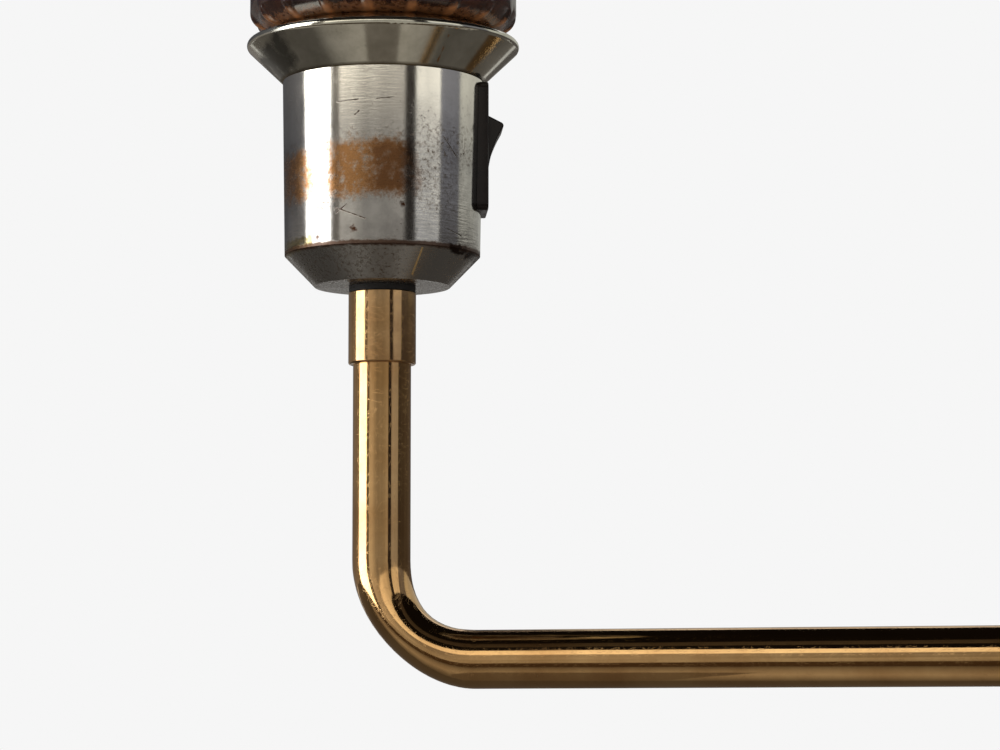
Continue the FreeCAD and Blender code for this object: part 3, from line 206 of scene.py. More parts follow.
AMBIENT = 0.62
world = bpy.data.worlds.new("Pale_studio")
bpy.context.scene.world = world
world.use_nodes = True
tree = world.node_tree
tree.nodes.clear()
path = add(tree, "LightPath")
seen = add(tree, "Math", {
    0: path.outputs["Is Camera Ray"], 1: path.outputs["Is Glossy Ray"]}, operation="ADD", use_clamp=True)
seen = add(tree, "Math", {
    0: seen.outputs[0], 1: path.outputs["Is Transmission Ray"]}, operation="ADD", use_clamp=True)
soft = add(tree, "Background", {"Color": linear("#f7f5f1"), "Strength": AMBIENT})
paper = add(tree, "Background", {"Color": linear(PAPER), "Strength": 1.0})
both = add(tree, "MixShader", {0: seen.outputs[0], 1: soft.outputs[0], 2: paper.outputs[0]})
add(tree, "OutputWorld", {"Surface": both.outputs[0]})
bpy.context.scene.view_settings.view_transform = "Standard"
print("floor at %.4f m, ambient light %.2f" % (FLOOR_Z, AMBIENT))

# %% [markdown]
# ## Cards round the lamp
# Polished metal has hardly any colour of its own: what it shows is the room. A photographer lights
# it with white cards and black flags, and the edges of those cards become the crisp bands on a
# tube. Here each card is a piece of wall or floor that only reflections can see, so it shapes the
# metal and neither lights nor shades anything else. An upright cylinder doubles angles: what it
# shows at a share s of its radius stands at twice the arcsine of s round from the camera, which is
# how the bands on the photographed cup and tube were turned into these angles. The cup is higher
# than the tube and looks at a higher strip of the wall, so the wall has two storeys.

# %% Walls of cards, by their angles round from the camera
CARD_REACH = 1.4
CARD_STEP = 4
STOREY_Z = 0.329
CARD_CENTRE = Vector((HOLDER_X, HOLDER_Y, ARM_Z + 60 * MM))
FRONT = math.atan2(-math.cos(VIEW_TURN), math.sin(VIEW_TURN))
GLOW, TINT = "glow", "tint"

WALL_LOW, FRONT_TOP, WALL_TOP = -0.10, 0.425, 1.30
WALL_CARDS = {
    # name: (from, to in degrees, bottom, top in metres, colour, brightness at each end)
    "Flag_left_low": (-180, -98, WALL_LOW, STOREY_Z, "#fff6ee", 0.16, 0.30),
    "Flag_left_high": (-180, -98, STOREY_Z, WALL_TOP, "#f6f6ff", 0.06, 0.15),
    "Window_left": (-98, -61, WALL_LOW, WALL_TOP, "#ffffff", 5.0, 5.0),
    "Flag_left": (-61, -49, WALL_LOW, WALL_TOP, "#fff4e6", 0.20, 0.17),
    "Card_front_left": (-49, -22, WALL_LOW, FRONT_TOP, "#fffaf2", 0.78, 0.40),
    "Card_front": (-22, 14, WALL_LOW, FRONT_TOP, "#fffaf4", 0.34, 0.32),
    "Card_front_right": (14, 27, WALL_LOW, FRONT_TOP, "#fffaf4", 0.34, 0.50),
    "Card_front_top": (-49, 27, FRONT_TOP, 0.88, "#fffaee", 1.90, 0.60),
    "Flag_line": (27, 40, WALL_LOW, WALL_TOP, "#fff0e8", 0.03, 0.03),
    "Card_right_low": (40, 70, WALL_LOW, STOREY_Z, "#f4f6ff", 0.50, 0.40),
    "Card_right_high": (40, 71, STOREY_Z, 0.95, "#fffdf6", 1.02, 1.02),
    "Flag_right_low": (70, 180, WALL_LOW, STOREY_Z, "#fff4ec", 0.06, 0.12),
    "Card_grey_high": (71, 101, STOREY_Z, 0.95, "#eef0ff", 0.26, 0.22),
    "Card_side_high": (101, 180, STOREY_Z, 0.95, "#fffff6", 0.62, 0.42),
}


def card_glow():
    """The cards' own light: how bright and of what tint is written on the points of each card."""
    material = bpy.data.materials.new("Card_glow")
    material.use_nodes = True
    tree = material.node_tree
    tree.nodes.clear()
    place = add(tree, "TexCoord").outputs["Object"]
    cloud = add(tree, "TexNoise", {"Vector": place, "Scale": scale_of(260), "Detail": 2.0})
    uneven = add(tree, "MapRange", {
        "Value": cloud.outputs["Fac"], "From Min": 0.3, "From Max": 0.7, "To Min": 0.86, "To Max": 1.14})
    glow = add(tree, "Attribute", attribute_name=GLOW)
    glow = add(tree, "Math", {0: glow.outputs["Fac"], 1: uneven.outputs["Result"]}, operation="MULTIPLY")
    tint = add(tree, "Attribute", attribute_name=TINT)
    shine = add(tree, "Emission", {"Color": tint.outputs["Color"], "Strength": glow.outputs[0]})
    add(tree, "OutputMaterial", {"Surface": shine.outputs[0]})
    return material


def hang_card(name, points, faces, colour, glows):
    """Make a card that only reflections can see, with its brightness written on its points."""
    card = mesh_object(name, points, faces)
    numbers = card.data.attributes.new(GLOW, "FLOAT", "POINT")
    numbers.data.foreach_set("value", glows)
    tints = card.data.attributes.new(TINT, "FLOAT_COLOR", "POINT")
    tints.data.foreach_set("color", [c for _ in points for c in linear(colour)])
    card.data.materials.append(glowing)
    for ray in ("camera", "diffuse", "transmission", "volume_scatter", "shadow"):
        setattr(card, "visible_" + ray, False)
    card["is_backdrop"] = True


glowing = card_glow()
for name, (start, end, bottom, top, colour, glow_start, glow_end) in WALL_CARDS.items():
    steps = max(2, int((end - start) / CARD_STEP))
    points, glows = [], []
    for k in range(steps + 1):
        angle = FRONT + math.radians(start + (end - start) * k / steps)
        foot = CARD_CENTRE + CARD_REACH * Vector((math.cos(angle), math.sin(angle), 0))
        for height in (bottom, top):
            points.append((foot.x, foot.y, height))
            glows.append(glow_start + (glow_end - glow_start) * k / steps)
    hang_card(name, points, [(2 * k, 2 * k + 2, 2 * k + 3, 2 * k + 1) for k in range(steps)], colour, glows)
print(len(WALL_CARDS), "cards on a wall %.1f m away" % CARD_REACH)

# %% [markdown]
# The level tube shows what is above and below instead. In the photograph its upper side is nearly
# black with one faint line. Its lower side has a bright band, a dark line, and a brown that
# brightens and fades again. So a black flag with a dim line hangs overhead, and strips of card lie
# on the floor from far in front of the lamp to behind it. The collar's cone looks straight down,
# and a small dim patch under it darkens its middle.

# %% Cards overhead and on the floor
toward = Vector((math.cos(FRONT), math.sin(FRONT), 0))
aside = Vector((-toward.y, toward.x, 0))
CEILING_Z = 1.36
CARD_LIFT = 1.0 * MM

LEVEL_CARDS = {
    # name: (height, near edge, far edge toward the camera, half width in metres, colour, brightness at each)
    "Flag_overhead": (CEILING_Z, -1.4, 2.6, 2.8, "#fff0e6", 0.006, 0.006),
    "Line_overhead": (CEILING_Z - 0.02, 0.62, 1.10, 2.8, "#fff0e0", 0.05, 0.07),
    "Floor_far": (FLOOR_Z + CARD_LIFT, 0.32, 1.40, 1.4, "#fffaf0", 0.44, 0.44),
    "Floor_line": (FLOOR_Z + CARD_LIFT, 0.155, 0.32, 1.4, "#ffd9b0", 0.07, 0.08),
    "Floor_front": (FLOOR_Z + CARD_LIFT, 0.056, 0.155, 1.4, "#fff6ea", 0.40, 0.14),
    "Floor_under": (FLOOR_Z + CARD_LIFT, -0.004, 0.056, 1.4, "#fff6ea", 0.12, 0.40),
    "Floor_back": (FLOOR_Z + CARD_LIFT, -0.9, -0.004, 1.4, "#fff4e8", 0.14, 0.09),
    "Floor_patch": (FLOOR_Z + 2 * CARD_LIFT, 0.0, 0.075, 0.040, "#fff0e0", 0.13, 0.15),
}
for name, (height, near, far, half, colour, glow_near, glow_far) in LEVEL_CARDS.items():
    middle = Vector((HOLDER_X, HOLDER_Y, height))
    corners = ((near, -half), (far, -half), (far, half), (near, half))
    points = [middle + toward * a + aside * b for a, b in corners]
    hang_card(name, points, [(0, 1, 2, 3)], colour, [glow_near, glow_far, glow_far, glow_near])
print(len(LEVEL_CARDS), "level cards")

# %% [markdown]
# ## Lamps for the matt parts
# Moulded plastic and porcelain need real light with a direction. One broad lamp stands where the
# white window is, and a weaker one opposite softens the shadows. Both stay out of reflections,
# which the cards already fill.

# %% Two soft lamps
LAMPS = {
    # name: (angle from the camera, height angle, distance, size, power in watts)
    "Soft_window": (-75, 32, 1.5, 1.1, 12.0),
    "Soft_fill": (60, 25, 1.7, 1.2, 6.0),
}
for name, (around, high, distance, size, power) in LAMPS.items():
    data = bpy.data.lights.new(name, "AREA")
    data.shape = "SQUARE"
    data.size = size
    data.energy = power
    lamp = bpy.data.objects.new(name, data)
    bpy.context.scene.collection.objects.link(lamp)
    angle = FRONT + math.radians(around)
    tilt = math.radians(high)
    way = Vector((math.cos(angle) * math.cos(tilt), math.sin(angle) * math.cos(tilt), math.sin(tilt)))
    lamp.location = CARD_CENTRE + way * distance
    lamp.rotation_euler = (-way).to_track_quat("-Z", "Y").to_euler()
    lamp.visible_glossy = False
print(len(LAMPS), "lamps")

# %% [markdown]
# ## Polished brass, lacquered
# The arms are drawn brass tube, polished on a wheel and lacquered. Polish leaves the surface
# mirror-like but a little wavy, and age adds patches of deeper gold, brown specks where the
# lacquer has let go, and hair scratches. A metal's colour is its mirror colour, so the base colour
# is mixed from clean and tarnished brass, and the waviness and scratches go into a bump.

# %% The brass of arms, swivels and canopy
def brass_surface(name, clean, deep, speck, shine, wave_mm):
    """Polished brass: clean and deep patches, dark specks, scratches and a wavy polish."""
    material, tree, shader, place = start_material(name, Metallic=1.0)
    patches = add(tree, "TexNoise", {
        "Vector": place, "Scale": scale_of(14), "Detail": 5.0, "Roughness": 0.6})
    tone = add(tree, "ValToRGB", {"Fac": patches.outputs["Fac"]}, stops=[(0.38, clean), (0.66, deep)])
    specks = add(tree, "TexNoise", {
        "Vector": place, "Scale": scale_of(0.9), "Detail": 4.0, "Roughness": 0.7})
    spotted = add(tree, "MapRange", {"Value": specks.outputs["Fac"], "From Min": 0.66, "From Max": 0.72})
    rare = add(tree, "MapRange", {"Value": patches.outputs["Fac"], "From Min": 0.5, "From Max": 0.62})
    spots = add(tree, "Math", {
        0: spotted.outputs["Result"], 1: rare.outputs["Result"]}, operation="MULTIPLY")
    colour = add(tree, "Mix", {
        0: spots.outputs[0], 6: tone.outputs["Color"], 7: linear(speck)}, data_type="RGBA")
    tree.links.new(colour.outputs[2], shader.inputs["Base Color"])
    worn = add(tree, "MapRange", {
        "Value": patches.outputs["Fac"], "From Min": 0.35, "From Max": 0.7, "To Min": shine,
        "To Max": shine + 0.07})
    rough = add(tree, "Math", {
        0: spots.outputs[0], 1: 0.35, 2: worn.outputs["Result"]}, operation="MULTIPLY_ADD")
    tree.links.new(rough.outputs[0], shader.inputs["Roughness"])
    wave = add(tree, "TexNoise", {"Vector": place, "Scale": scale_of(wave_mm), "Detail": 1.0})
    hair = add(tree, "TexNoise", {"Vector": place, "Scale": scale_of(5), "Detail": 6.0, "Distortion": 2.5})
    line = add(tree, "Math", {0: hair.outputs["Fac"], 1: 0.5, 2: 0.006}, operation="COMPARE")
    polish = add(tree, "Bump", {"Height": wave.outputs["Fac"], "Strength": 1.0, "Distance": 0.05 * MM})
    scratched = add(tree, "Bump", {
        "Height": line.outputs[0], "Strength": 0.25, "Distance": 0.01 * MM,
        "Normal": polish.outputs["Normal"]}, invert=True)
    tree.links.new(scratched.outputs["Normal"], shader.inputs["Normal"])
    return material


polished_brass = brass_surface("Polished_brass_lacquered", "#d6ae78", "#be9462", "#4c3319", 0.06, 9)
sleeve_brass = brass_surface("Polished_brass_sleeve", "#d0ab7a", "#b58e62", "#3d2a18", 0.08, 6)
print("brass:", polished_brass.name, sleeve_brass.name)

# %% [markdown]
# ## Plated steel, worn
# The cup was pressed from sheet, plated with nickel and chrome, and has seen decades of hot lamps
# and damp cloths. Good plating is a mirror, and this one is mottled and pitted, so bright bands
# break up into flecks. Every mark of age, and every painted reflection, needs a place and an edge
# that doesn't look drawn, so one helper makes a mask from the distance to a small box and lets a noise fray
# it.

# %% Plating, and a helper for marks on it
CUP_TURN = (0.0, 0.0, FRONT)
CUP_FACE_R = 20.6 * MM


def plated_surface(name, bright, dull, pits):
    """Worn plating: a mottled grey with pits.

    Its places run out to the camera, right and up from the cup's foot."""
    material, tree, shader, place = start_material(name, Metallic=1.0)
    local = add(tree, "Mapping", {
        "Vector": place, "Location": (HOLDER_X, HOLDER_Y, CUP_FOOT), "Rotation": CUP_TURN},
        vector_type="TEXTURE")
    spot = local.outputs["Vector"]
    cloud = add(tree, "TexNoise", {"Vector": spot, "Scale": scale_of(9), "Detail": 7.0, "Roughness": 0.65})
    tone = add(tree, "ValToRGB", {"Fac": cloud.outputs["Fac"]}, stops=[(0.36, bright), (0.64, dull)])
    fine = add(tree, "TexNoise", {"Vector": spot, "Scale": scale_of(0.8), "Detail": 6.0, "Roughness": 0.75})
    pitted = add(tree, "MapRange", {"Value": fine.outputs["Fac"], "From Min": 0.58, "From Max": 0.68})
    where = add(tree, "MapRange", {
        "Value": cloud.outputs["Fac"], "From Min": 0.42, "From Max": 0.60, "To Max": pits})
    pit = add(tree, "Math", {0: pitted.outputs["Result"], 1: where.outputs["Result"]}, operation="MULTIPLY")
    return material, tree, shader, spot, cloud, fine, tone, pit


def mark(tree, spot, ragged, centre_mm, half_mm, degrees, soft_mm, rag_mm, full=1.0):
    """A mark on the side that faces the camera: a box of a half size, turned, with a soft and ragged edge.

    Places are millimetres to the right and up from the middle of the foot. Gives the mask's socket."""
    turned_spot = add(tree, "Mapping", {
        "Vector": spot, "Location": (CUP_FACE_R, centre_mm[0] * MM, centre_mm[1] * MM),
        "Rotation": (math.radians(degrees), 0, 0)}, vector_type="TEXTURE")
    beside = add(tree, "VectorMath", {0: turned_spot.outputs["Vector"]}, operation="ABSOLUTE")
    beyond = add(tree, "VectorMath", {
        0: beside.outputs[0], 1: (CUP_FACE_R, half_mm[0] * MM, half_mm[1] * MM)}, operation="SUBTRACT")
    beyond = add(tree, "VectorMath", {0: beyond.outputs[0], 1: (0.0, 0.0, 0.0)}, operation="MAXIMUM")
    away = add(tree, "VectorMath", {0: beyond.outputs[0]}, operation="LENGTH")
    away = add(tree, "Math", {
        0: ragged, 1: 2 * rag_mm * MM, 2: away.outputs["Value"]}, operation="MULTIPLY_ADD")
    shown = add(tree, "MapRange", {
        "Value": away.outputs[0], "From Min": (rag_mm + soft_mm) * MM, "From Max": rag_mm * MM,
        "To Max": full})
    return shown.outputs["Result"]


def any_mark(tree, spot, ragged, places, soft_mm, rag_mm):
    """Several marks of one kind, joined into one mask."""
    joined = mark(tree, spot, ragged, *places[0], soft_mm, rag_mm)
    for place_of in places[1:]:
        other = mark(tree, spot, ragged, *place_of, soft_mm, rag_mm)
        joined = add(tree, "Math", {0: joined, 1: other}, operation="MAXIMUM").outputs[0]
    return joined


def tinted(tree, under, mask, hex_colour):
    """One colour laid over another where a mask shows."""
    return add(tree, "Mix", {0: mask, 6: under, 7: linear(hex_colour)}, data_type="RGBA").outputs[2]


def raised(tree, base, mask, amount):
    """A number raised by an amount where a mask shows."""
    return add(tree, "Math", {0: mask, 1: amount, 2: base}, operation="MULTIPLY_ADD").outputs[0]


print("marks are placed from the cup's foot, %.1f mm up the lamp" % (CUP_FOOT / MM))

# %% [markdown]
# The amber patch in the upper half of the cup is a painted reflection, not a mark on the plating. It
# darkens to the right, its edges fray into brown mottling, and where the white window shines it is only a
# crackle. Below it are brown spots
# and a slanting scratch, and longer scratches run level near the top. Rust has gathered in the
# bend above the foot, and most at its right end. At its left end the lacquer has yellowed. Each
# mark is a small box with a ragged edge, and the scratches are also cut into the surface.

# %% The cup's own plating
FOOT_BEND = 6.4 * MM
# Marks are given as: middle right and up, half width and half height, all in mm, and how far turned.
# The amber patch and its deeper right part are a painted reflection on the plating.
AMBER_REFLECTION = (((-2.6, 22.0), (6.3, 4.1), 0), ((-18.0, 21.4), (1.8, 3.6), 0))
AMBER_REFLECTION_DEEP = ((2.8, 21.8), (2.8, 3.2), 0)
MOTTLED = (
    ((-1.8, 22.8), (8.0, 6.4), 0),
    ((-11.2, 21.0), (1.9, 6.6), 0),
    ((-18.0, 21.0), (2.0, 5.5), 0),
    ((11.8, 22.0), (2.6, 8.0), 0),
    ((17.0, 27.6), (1.4, 2.4), 0),
    ((-7.0, 3.0), (10.0, 2.2), 0),
)
SCRATCHES = (
    ((-6.6, 35.6), (2.3, 0.05), 4),
    ((1.2, 36.0), (1.8, 0.04), 6),
    ((-4.6, 33.0), (0.6, 0.10), 40),
    ((-5.9, 12.6), (3.3, 0.06), -22),
    ((-7.7, 13.6), (1.4, 0.06), 38),
    ((14.2, 27.0), (2.2, 0.03), -55),
    ((15.0, 9.5), (1.6, 0.03), -20),
)
SPOTS = (
    ((-5.3, 9.4), (0.25, 0.45), 25),
    ((4.7, 14.4), (0.20, 0.15), 0),
    ((-12.6, 8.2), (0.10, 0.10), 0),
)
plated_cup, tree, shader, spot, cloud, fine, tone, pit = plated_surface(
    "Worn_nickel_chrome_cup", "#cbc8c1", "#a3a09b", 0.9)
axes = add(tree, "SeparateXYZ", {"Vector": spot})
ruffle = add(tree, "TexNoise", {
    "Vector": spot, "Scale": scale_of(2.2), "Detail": 6.0, "Roughness": 0.75}).outputs["Fac"]
torn = add(tree, "MapRange", {"Value": ruffle, "From Min": 0.32, "From Max": 0.68}).outputs["Result"]
speck = add(tree, "MapRange", {
    "Value": fine.outputs["Fac"], "From Min": 0.48, "From Max": 0.66, "To Max": 0.75}).outputs["Result"]
amber_reflection = any_mark(tree, spot, torn, AMBER_REFLECTION, 2.6, 1.8)
deep = mark(tree, spot, torn, *AMBER_REFLECTION_DEEP, 3.2, 1.8, 0.85)
mottled = any_mark(tree, spot, torn, MOTTLED, 2.2, 1.8)
mottled = add(tree, "Math", {0: mottled, 1: speck}, operation="MULTIPLY").outputs[0]
kept = add(tree, "MapRange", {"Value": amber_reflection, "To Min": 1.0, "To Max": 0.35}).outputs["Result"]
mottled = add(tree, "Math", {0: mottled, 1: kept}, operation="MULTIPLY").outputs[0]
# Painted highlight: the plating's colour pales to a cream towards the top of the cup.
high = add(tree, "MapRange", {
    "Value": axes.outputs["Z"], "From Min": 27.0 * MM, "From Max": 40.0 * MM,
    "To Max": 0.8}).outputs["Result"]
bend = add(tree, "Math", {0: axes.outputs["Z"], 1: FOOT_BEND}, operation="SUBTRACT")
drift = add(tree, "Math", {0: ruffle, 1: 1.4 * MM, 2: -0.85 * MM}, operation="MULTIPLY_ADD")
off = add(tree, "Math", {0: bend.outputs[0], 1: drift.outputs[0]}, operation="ADD")
off = add(tree, "Math", {0: off.outputs[0]}, operation="ABSOLUTE")
rust = add(tree, "MapRange", {
    "Value": off.outputs[0], "From Min": 0.75 * MM, "From Max": 0.35 * MM, "To Max": 0.9}).outputs["Result"]
clot = mark(tree, spot, torn, (17.2, 5.8), (2.8, 0.4), -12, 0.6, 0.7)
# The chamfer below the bend is painted a darker grey: partly its tarnish, partly painted shade on the
# downward face.
foot = add(tree, "MapRange", {
    "Value": bend.outputs[0], "From Min": 0.1 * MM, "From Max": -0.1 * MM}).outputs["Result"]
yellow = mark(tree, spot, torn, (-17.6, 7.4), (3.2, 0.7), 4, 0.9, 0.8, 0.85)
seam = mark(tree, spot, fine.outputs["Fac"], (7.6, 3.3), (0.12, 2.7), -24, 0.10, 0.10)
spots = any_mark(tree, spot, fine.outputs["Fac"], SPOTS, 0.5, 0.9)
lines = any_mark(tree, spot, fine.outputs["Fac"], SCRATCHES, 0.10, 0.22)

colour = tinted(tree, tone.outputs["Color"], high, "#f2ecde")
# The amber and deep tints paint a reflection. The foot tint is tarnish with painted shade.
for mask, stain in (
        (foot, "#a09e9a"), (amber_reflection, "#9b7149"), (deep, "#6b4930"), (pit.outputs[0], "#5b5049"),
        (mottled, "#5a4632"), (yellow, "#8f8150"), (rust, "#4a3020"), (clot, "#2a1a12"),
        (spots, "#4a2f20"), (lines, "#4a3c34"), (seam, "#e6cf9f")):
    colour = tinted(tree, colour, mask, stain)
tree.links.new(colour, shader.inputs["Base Color"])
matt = add(tree, "MapRange", {
    "Value": cloud.outputs["Fac"], "From Min": 0.35, "From Max": 0.65, "To Min": 0.09,
    "To Max": 0.15}).outputs["Result"]
for mask, amount in ((pit.outputs[0], 0.25), (amber_reflection, 0.10), (mottled, 0.2), (rust, 0.3), (foot, 0.14),
                     (spots, 0.3), (lines, 0.3)):
    matt = raised(tree, matt, mask, amount)
tree.links.new(matt, shader.inputs["Roughness"])
wiped = add(tree, "Mapping", {"Vector": spot, "Scale": (1.0, 1.0, 9.0)})
wiped = add(tree, "TexNoise", {"Vector": wiped.outputs["Vector"], "Scale": scale_of(4), "Detail": 5.0})
rough = add(tree, "Bump", {"Height": fine.outputs["Fac"], "Strength": 0.35, "Distance": 0.02 * MM})
rough = add(tree, "Bump", {
    "Height": wiped.outputs["Fac"], "Strength": 0.4, "Distance": 0.02 * MM,
    "Normal": rough.outputs["Normal"]})
cut = add(tree, "Bump", {
    "Height": lines, "Strength": 0.5, "Distance": 0.02 * MM, "Normal": rough.outputs["Normal"]},
    invert=True)
tree.links.new(cut.outputs["Normal"], shader.inputs["Normal"])
print("cup:", plated_cup.name, len(tree.nodes), "nodes")

# %% [markdown]
# The flared collar is plated too, and cleaner, since hands and cloths don't reach it. Its cone
# looks down at the floor and takes its grey. A thin amber line across it is a painted reflection, its left
# end is clouded, and where it meets the cup a dark joint line carries painted shade from the crease.

# %% The collar's plating
COLLAR_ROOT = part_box("holder_cup")[1][2] - CUP_FOOT
plated_collar, tree, shader, spot, cloud, fine, tone, pit = plated_surface(
    "Nickel_chrome_collar", "#dcd9cb", "#bfbcad", 0.35)
axes = add(tree, "SeparateXYZ", {"Vector": spot})
ruffle = add(tree, "TexNoise", {"Vector": spot, "Scale": scale_of(3.0), "Detail": 4.0}).outputs["Fac"]
# Painted reflection: a thin amber line across the collar's cone.
amber_reflection_line = mark(tree, spot, ruffle, (12.9, COLLAR_ROOT / MM + 3.4), (0.06, 2.6), -27, 0.12, 0.5)
clouded = mark(tree, spot, ruffle, (-21.5, COLLAR_ROOT / MM + 3.0), (2.4, 2.8), 35, 1.6, 1.6, 0.85)
# A dark joint line with painted shade in the crease where the collar meets the cup.
joint_line_and_shade = add(tree, "MapRange", {
    "Value": axes.outputs["Z"], "From Min": COLLAR_ROOT + 0.7 * MM,
    "From Max": COLLAR_ROOT + 0.1 * MM}).outputs["Result"]
colour = tinted(tree, tone.outputs["Color"], pit.outputs[0], "#6d685c")
for mask, stain in ((clouded, "#4a4842"), (joint_line_and_shade, "#5c4f38"), (amber_reflection_line, "#a8752f")):
    colour = tinted(tree, colour, mask, stain)
tree.links.new(colour, shader.inputs["Base Color"])
matt = raised(tree, 0.11, pit.outputs[0], 0.2)
for mask, amount in ((clouded, 0.25), (joint_line_and_shade, 0.2), (amber_reflection_line, 0.15)):
    matt = raised(tree, matt, mask, amount)
tree.links.new(matt, shader.inputs["Roughness"])
rough = add(tree, "Bump", {"Height": fine.outputs["Fac"], "Strength": 0.2, "Distance": 0.015 * MM})
tree.links.new(rough.outputs["Normal"], shader.inputs["Normal"])
print("collar:", plated_collar.name)

# %% [markdown]
# ## Brown phenolic, moulded
# The screw ring and the mantle under it are pressed phenolic resin, filled with wood flour. Fresh
# from a polished mould it is very dark and glossy, with faint cloudy flow. Where fingers grip the
# ribs, the skin wears through to a paler copper brown, and the lower bevel is painted the same copper
# brown as a painted reflection of the bright collar below. The mesh carries that wear and painted
# reflection as one number on each point, from 0 on the smooth part to nearly 1 on the ribs, and the
# material only reads it.

# %% Dark resin with worn ribs
WEAR_AND_REFLECTION = "grip_wear_and_reflection"
brown_phenolic, tree, shader, place = start_material("Brown_phenolic_moulded", IOR=1.6)
flow = add(tree, "TexNoise", {"Vector": place, "Scale": scale_of(7), "Detail": 5.0, "Distortion": 1.4})
tone = add(tree, "ValToRGB", {"Fac": flow.outputs["Fac"]}, stops=[(0.35, "#1d0f0b"), (0.7, "#351b11")])
# Painted reflection and real wear: this number paints the lower bevel copper brown as a reflection, and the
# ribs as worn.
worn = add(tree, "Attribute", attribute_name=WEAR_AND_REFLECTION)
scuff = add(tree, "TexNoise", {"Vector": place, "Scale": scale_of(1.1), "Detail": 5.0})
edge = add(tree, "Math", {0: scuff.outputs["Fac"], 1: 0.9, 2: -0.45}, operation="MULTIPLY_ADD")
edge = add(tree, "Math", {0: edge.outputs[0], 1: worn.outputs["Fac"]}, operation="ADD")
copper_wear_and_reflection = add(tree, "MapRange", {"Value": edge.outputs[0], "From Min": 0.25, "From Max": 1.1})
colour = add(tree, "Mix", {
    0: copper_wear_and_reflection.outputs["Result"], 6: tone.outputs["Color"], 7: linear("#a4693c")}, data_type="RGBA")
tree.links.new(colour.outputs[2], shader.inputs["Base Color"])
matt = add(tree, "MapRange", {
    "Value": edge.outputs[0], "From Min": 0.0, "From Max": 1.0, "To Min": 0.16, "To Max": 0.42})
tree.links.new(matt.outputs["Result"], shader.inputs["Roughness"])
skin = add(tree, "Bump", {"Height": scuff.outputs["Fac"], "Strength": 0.3, "Distance": 0.02 * MM})
tree.links.new(skin.outputs["Normal"], shader.inputs["Normal"])
print("resin:", brown_phenolic.name)

# %% [markdown]
# ## The other mouldings
# The switch is black moulded plastic, its rocker rubbed smooth by thumbs. The washers are pressed
# fibre, dull and slightly hairy. The terminal block is natural polyamide, a warm white that light
# enters a little. The insert is glazed porcelain, with a thin glossy glaze over a white body.

# %% Plastics, fibre and porcelain
def moulding(name, dark, light, feature_mm, rough_low, rough_high, bump_mm, **values):
    """A moulded surface: two close tones, an uneven gloss and a fine skin."""
    material, tree, shader, place = start_material(name, **values)
    cloud = add(tree, "TexNoise", {
        "Vector": place, "Scale": scale_of(feature_mm), "Detail": 6.0, "Roughness": 0.6})
    tone = add(tree, "ValToRGB", {"Fac": cloud.outputs["Fac"]}, stops=[(0.3, dark), (0.7, light)])
    tree.links.new(tone.outputs["Color"], shader.inputs["Base Color"])
    gloss = add(tree, "MapRange", {
        "Value": cloud.outputs["Fac"], "From Min": 0.3, "From Max": 0.7, "To Min": rough_low,
        "To Max": rough_high})
    tree.links.new(gloss.outputs["Result"], shader.inputs["Roughness"])
    skin = add(tree, "TexNoise", {"Vector": place, "Scale": scale_of(0.35), "Detail": 3.0})
    bump = add(tree, "Bump", {"Height": skin.outputs["Fac"], "Strength": 0.5, "Distance": bump_mm * MM})
    tree.links.new(bump.outputs["Normal"], shader.inputs["Normal"])
    return material


black_moulding = moulding("Black_ABS_moulded", "#0b0504", "#170d09", 2.5, 0.24, 0.40, 0.006, IOR=1.5,
                          Specular_IOR_Level=0.3)
black_fibre = moulding("Black_fibre_pressed", "#0c0b0a", "#231f1c", 0.6, 0.6, 0.8, 0.03, IOR=1.5)
white_polyamide = moulding("White_polyamide_moulded", "#e2dfd3", "#eeebe1", 4.0, 0.35, 0.5, 0.006, IOR=1.53)
porcelain = moulding("White_porcelain_glazed", "#dedad0", "#ece9e1", 5.0, 0.3, 0.4, 0.01, IOR=1.5,
                     Coat_Weight=0.8, Coat_Roughness=0.08)
print("mouldings:", black_moulding.name, black_fibre.name, white_polyamide.name, porcelain.name)

# %% [markdown]
# ## Small metal parts
# Turned brass keeps fine rings from the lathe, so its bump is a noise pulled out into level lines,
# drawn as coarse as it has to be to show. Zinc plate on steel is a cold grey with faint blue and
# yellow clouds. Spring bronze is rolled strip, redder than brass, with lines along its height.

# %% Turned brass, zinc plate and spring bronze
def small_metal(name, first, second, third, feature_mm, rough_low, rough_high, line_mm, stretch):
    """Plain metal with clouded colour and the lines that its tool left."""
    material, tree, shader, place = start_material(name, Metallic=1.0)
    cloud = add(tree, "TexNoise", {"Vector": place, "Scale": scale_of(feature_mm), "Detail": 4.0})
    tone = add(tree, "ValToRGB", {
        "Fac": cloud.outputs["Fac"]}, stops=[(0.3, first), (0.75, third), (0.52, second)])
    tree.links.new(tone.outputs["Color"], shader.inputs["Base Color"])
    rough = add(tree, "MapRange", {
        "Value": cloud.outputs["Fac"], "From Min": 0.3, "From Max": 0.7, "To Min": rough_low,
        "To Max": rough_high})
    tree.links.new(rough.outputs["Result"], shader.inputs["Roughness"])
    pulled = add(tree, "Mapping", {"Vector": place, "Scale": stretch})
    lines = add(tree, "TexNoise", {
        "Vector": pulled.outputs["Vector"], "Scale": scale_of(line_mm), "Detail": 2.0})
    bump = add(tree, "Bump", {"Height": lines.outputs["Fac"], "Strength": 0.4, "Distance": 0.01 * MM})
    tree.links.new(bump.outputs["Normal"], shader.inputs["Normal"])
    return material


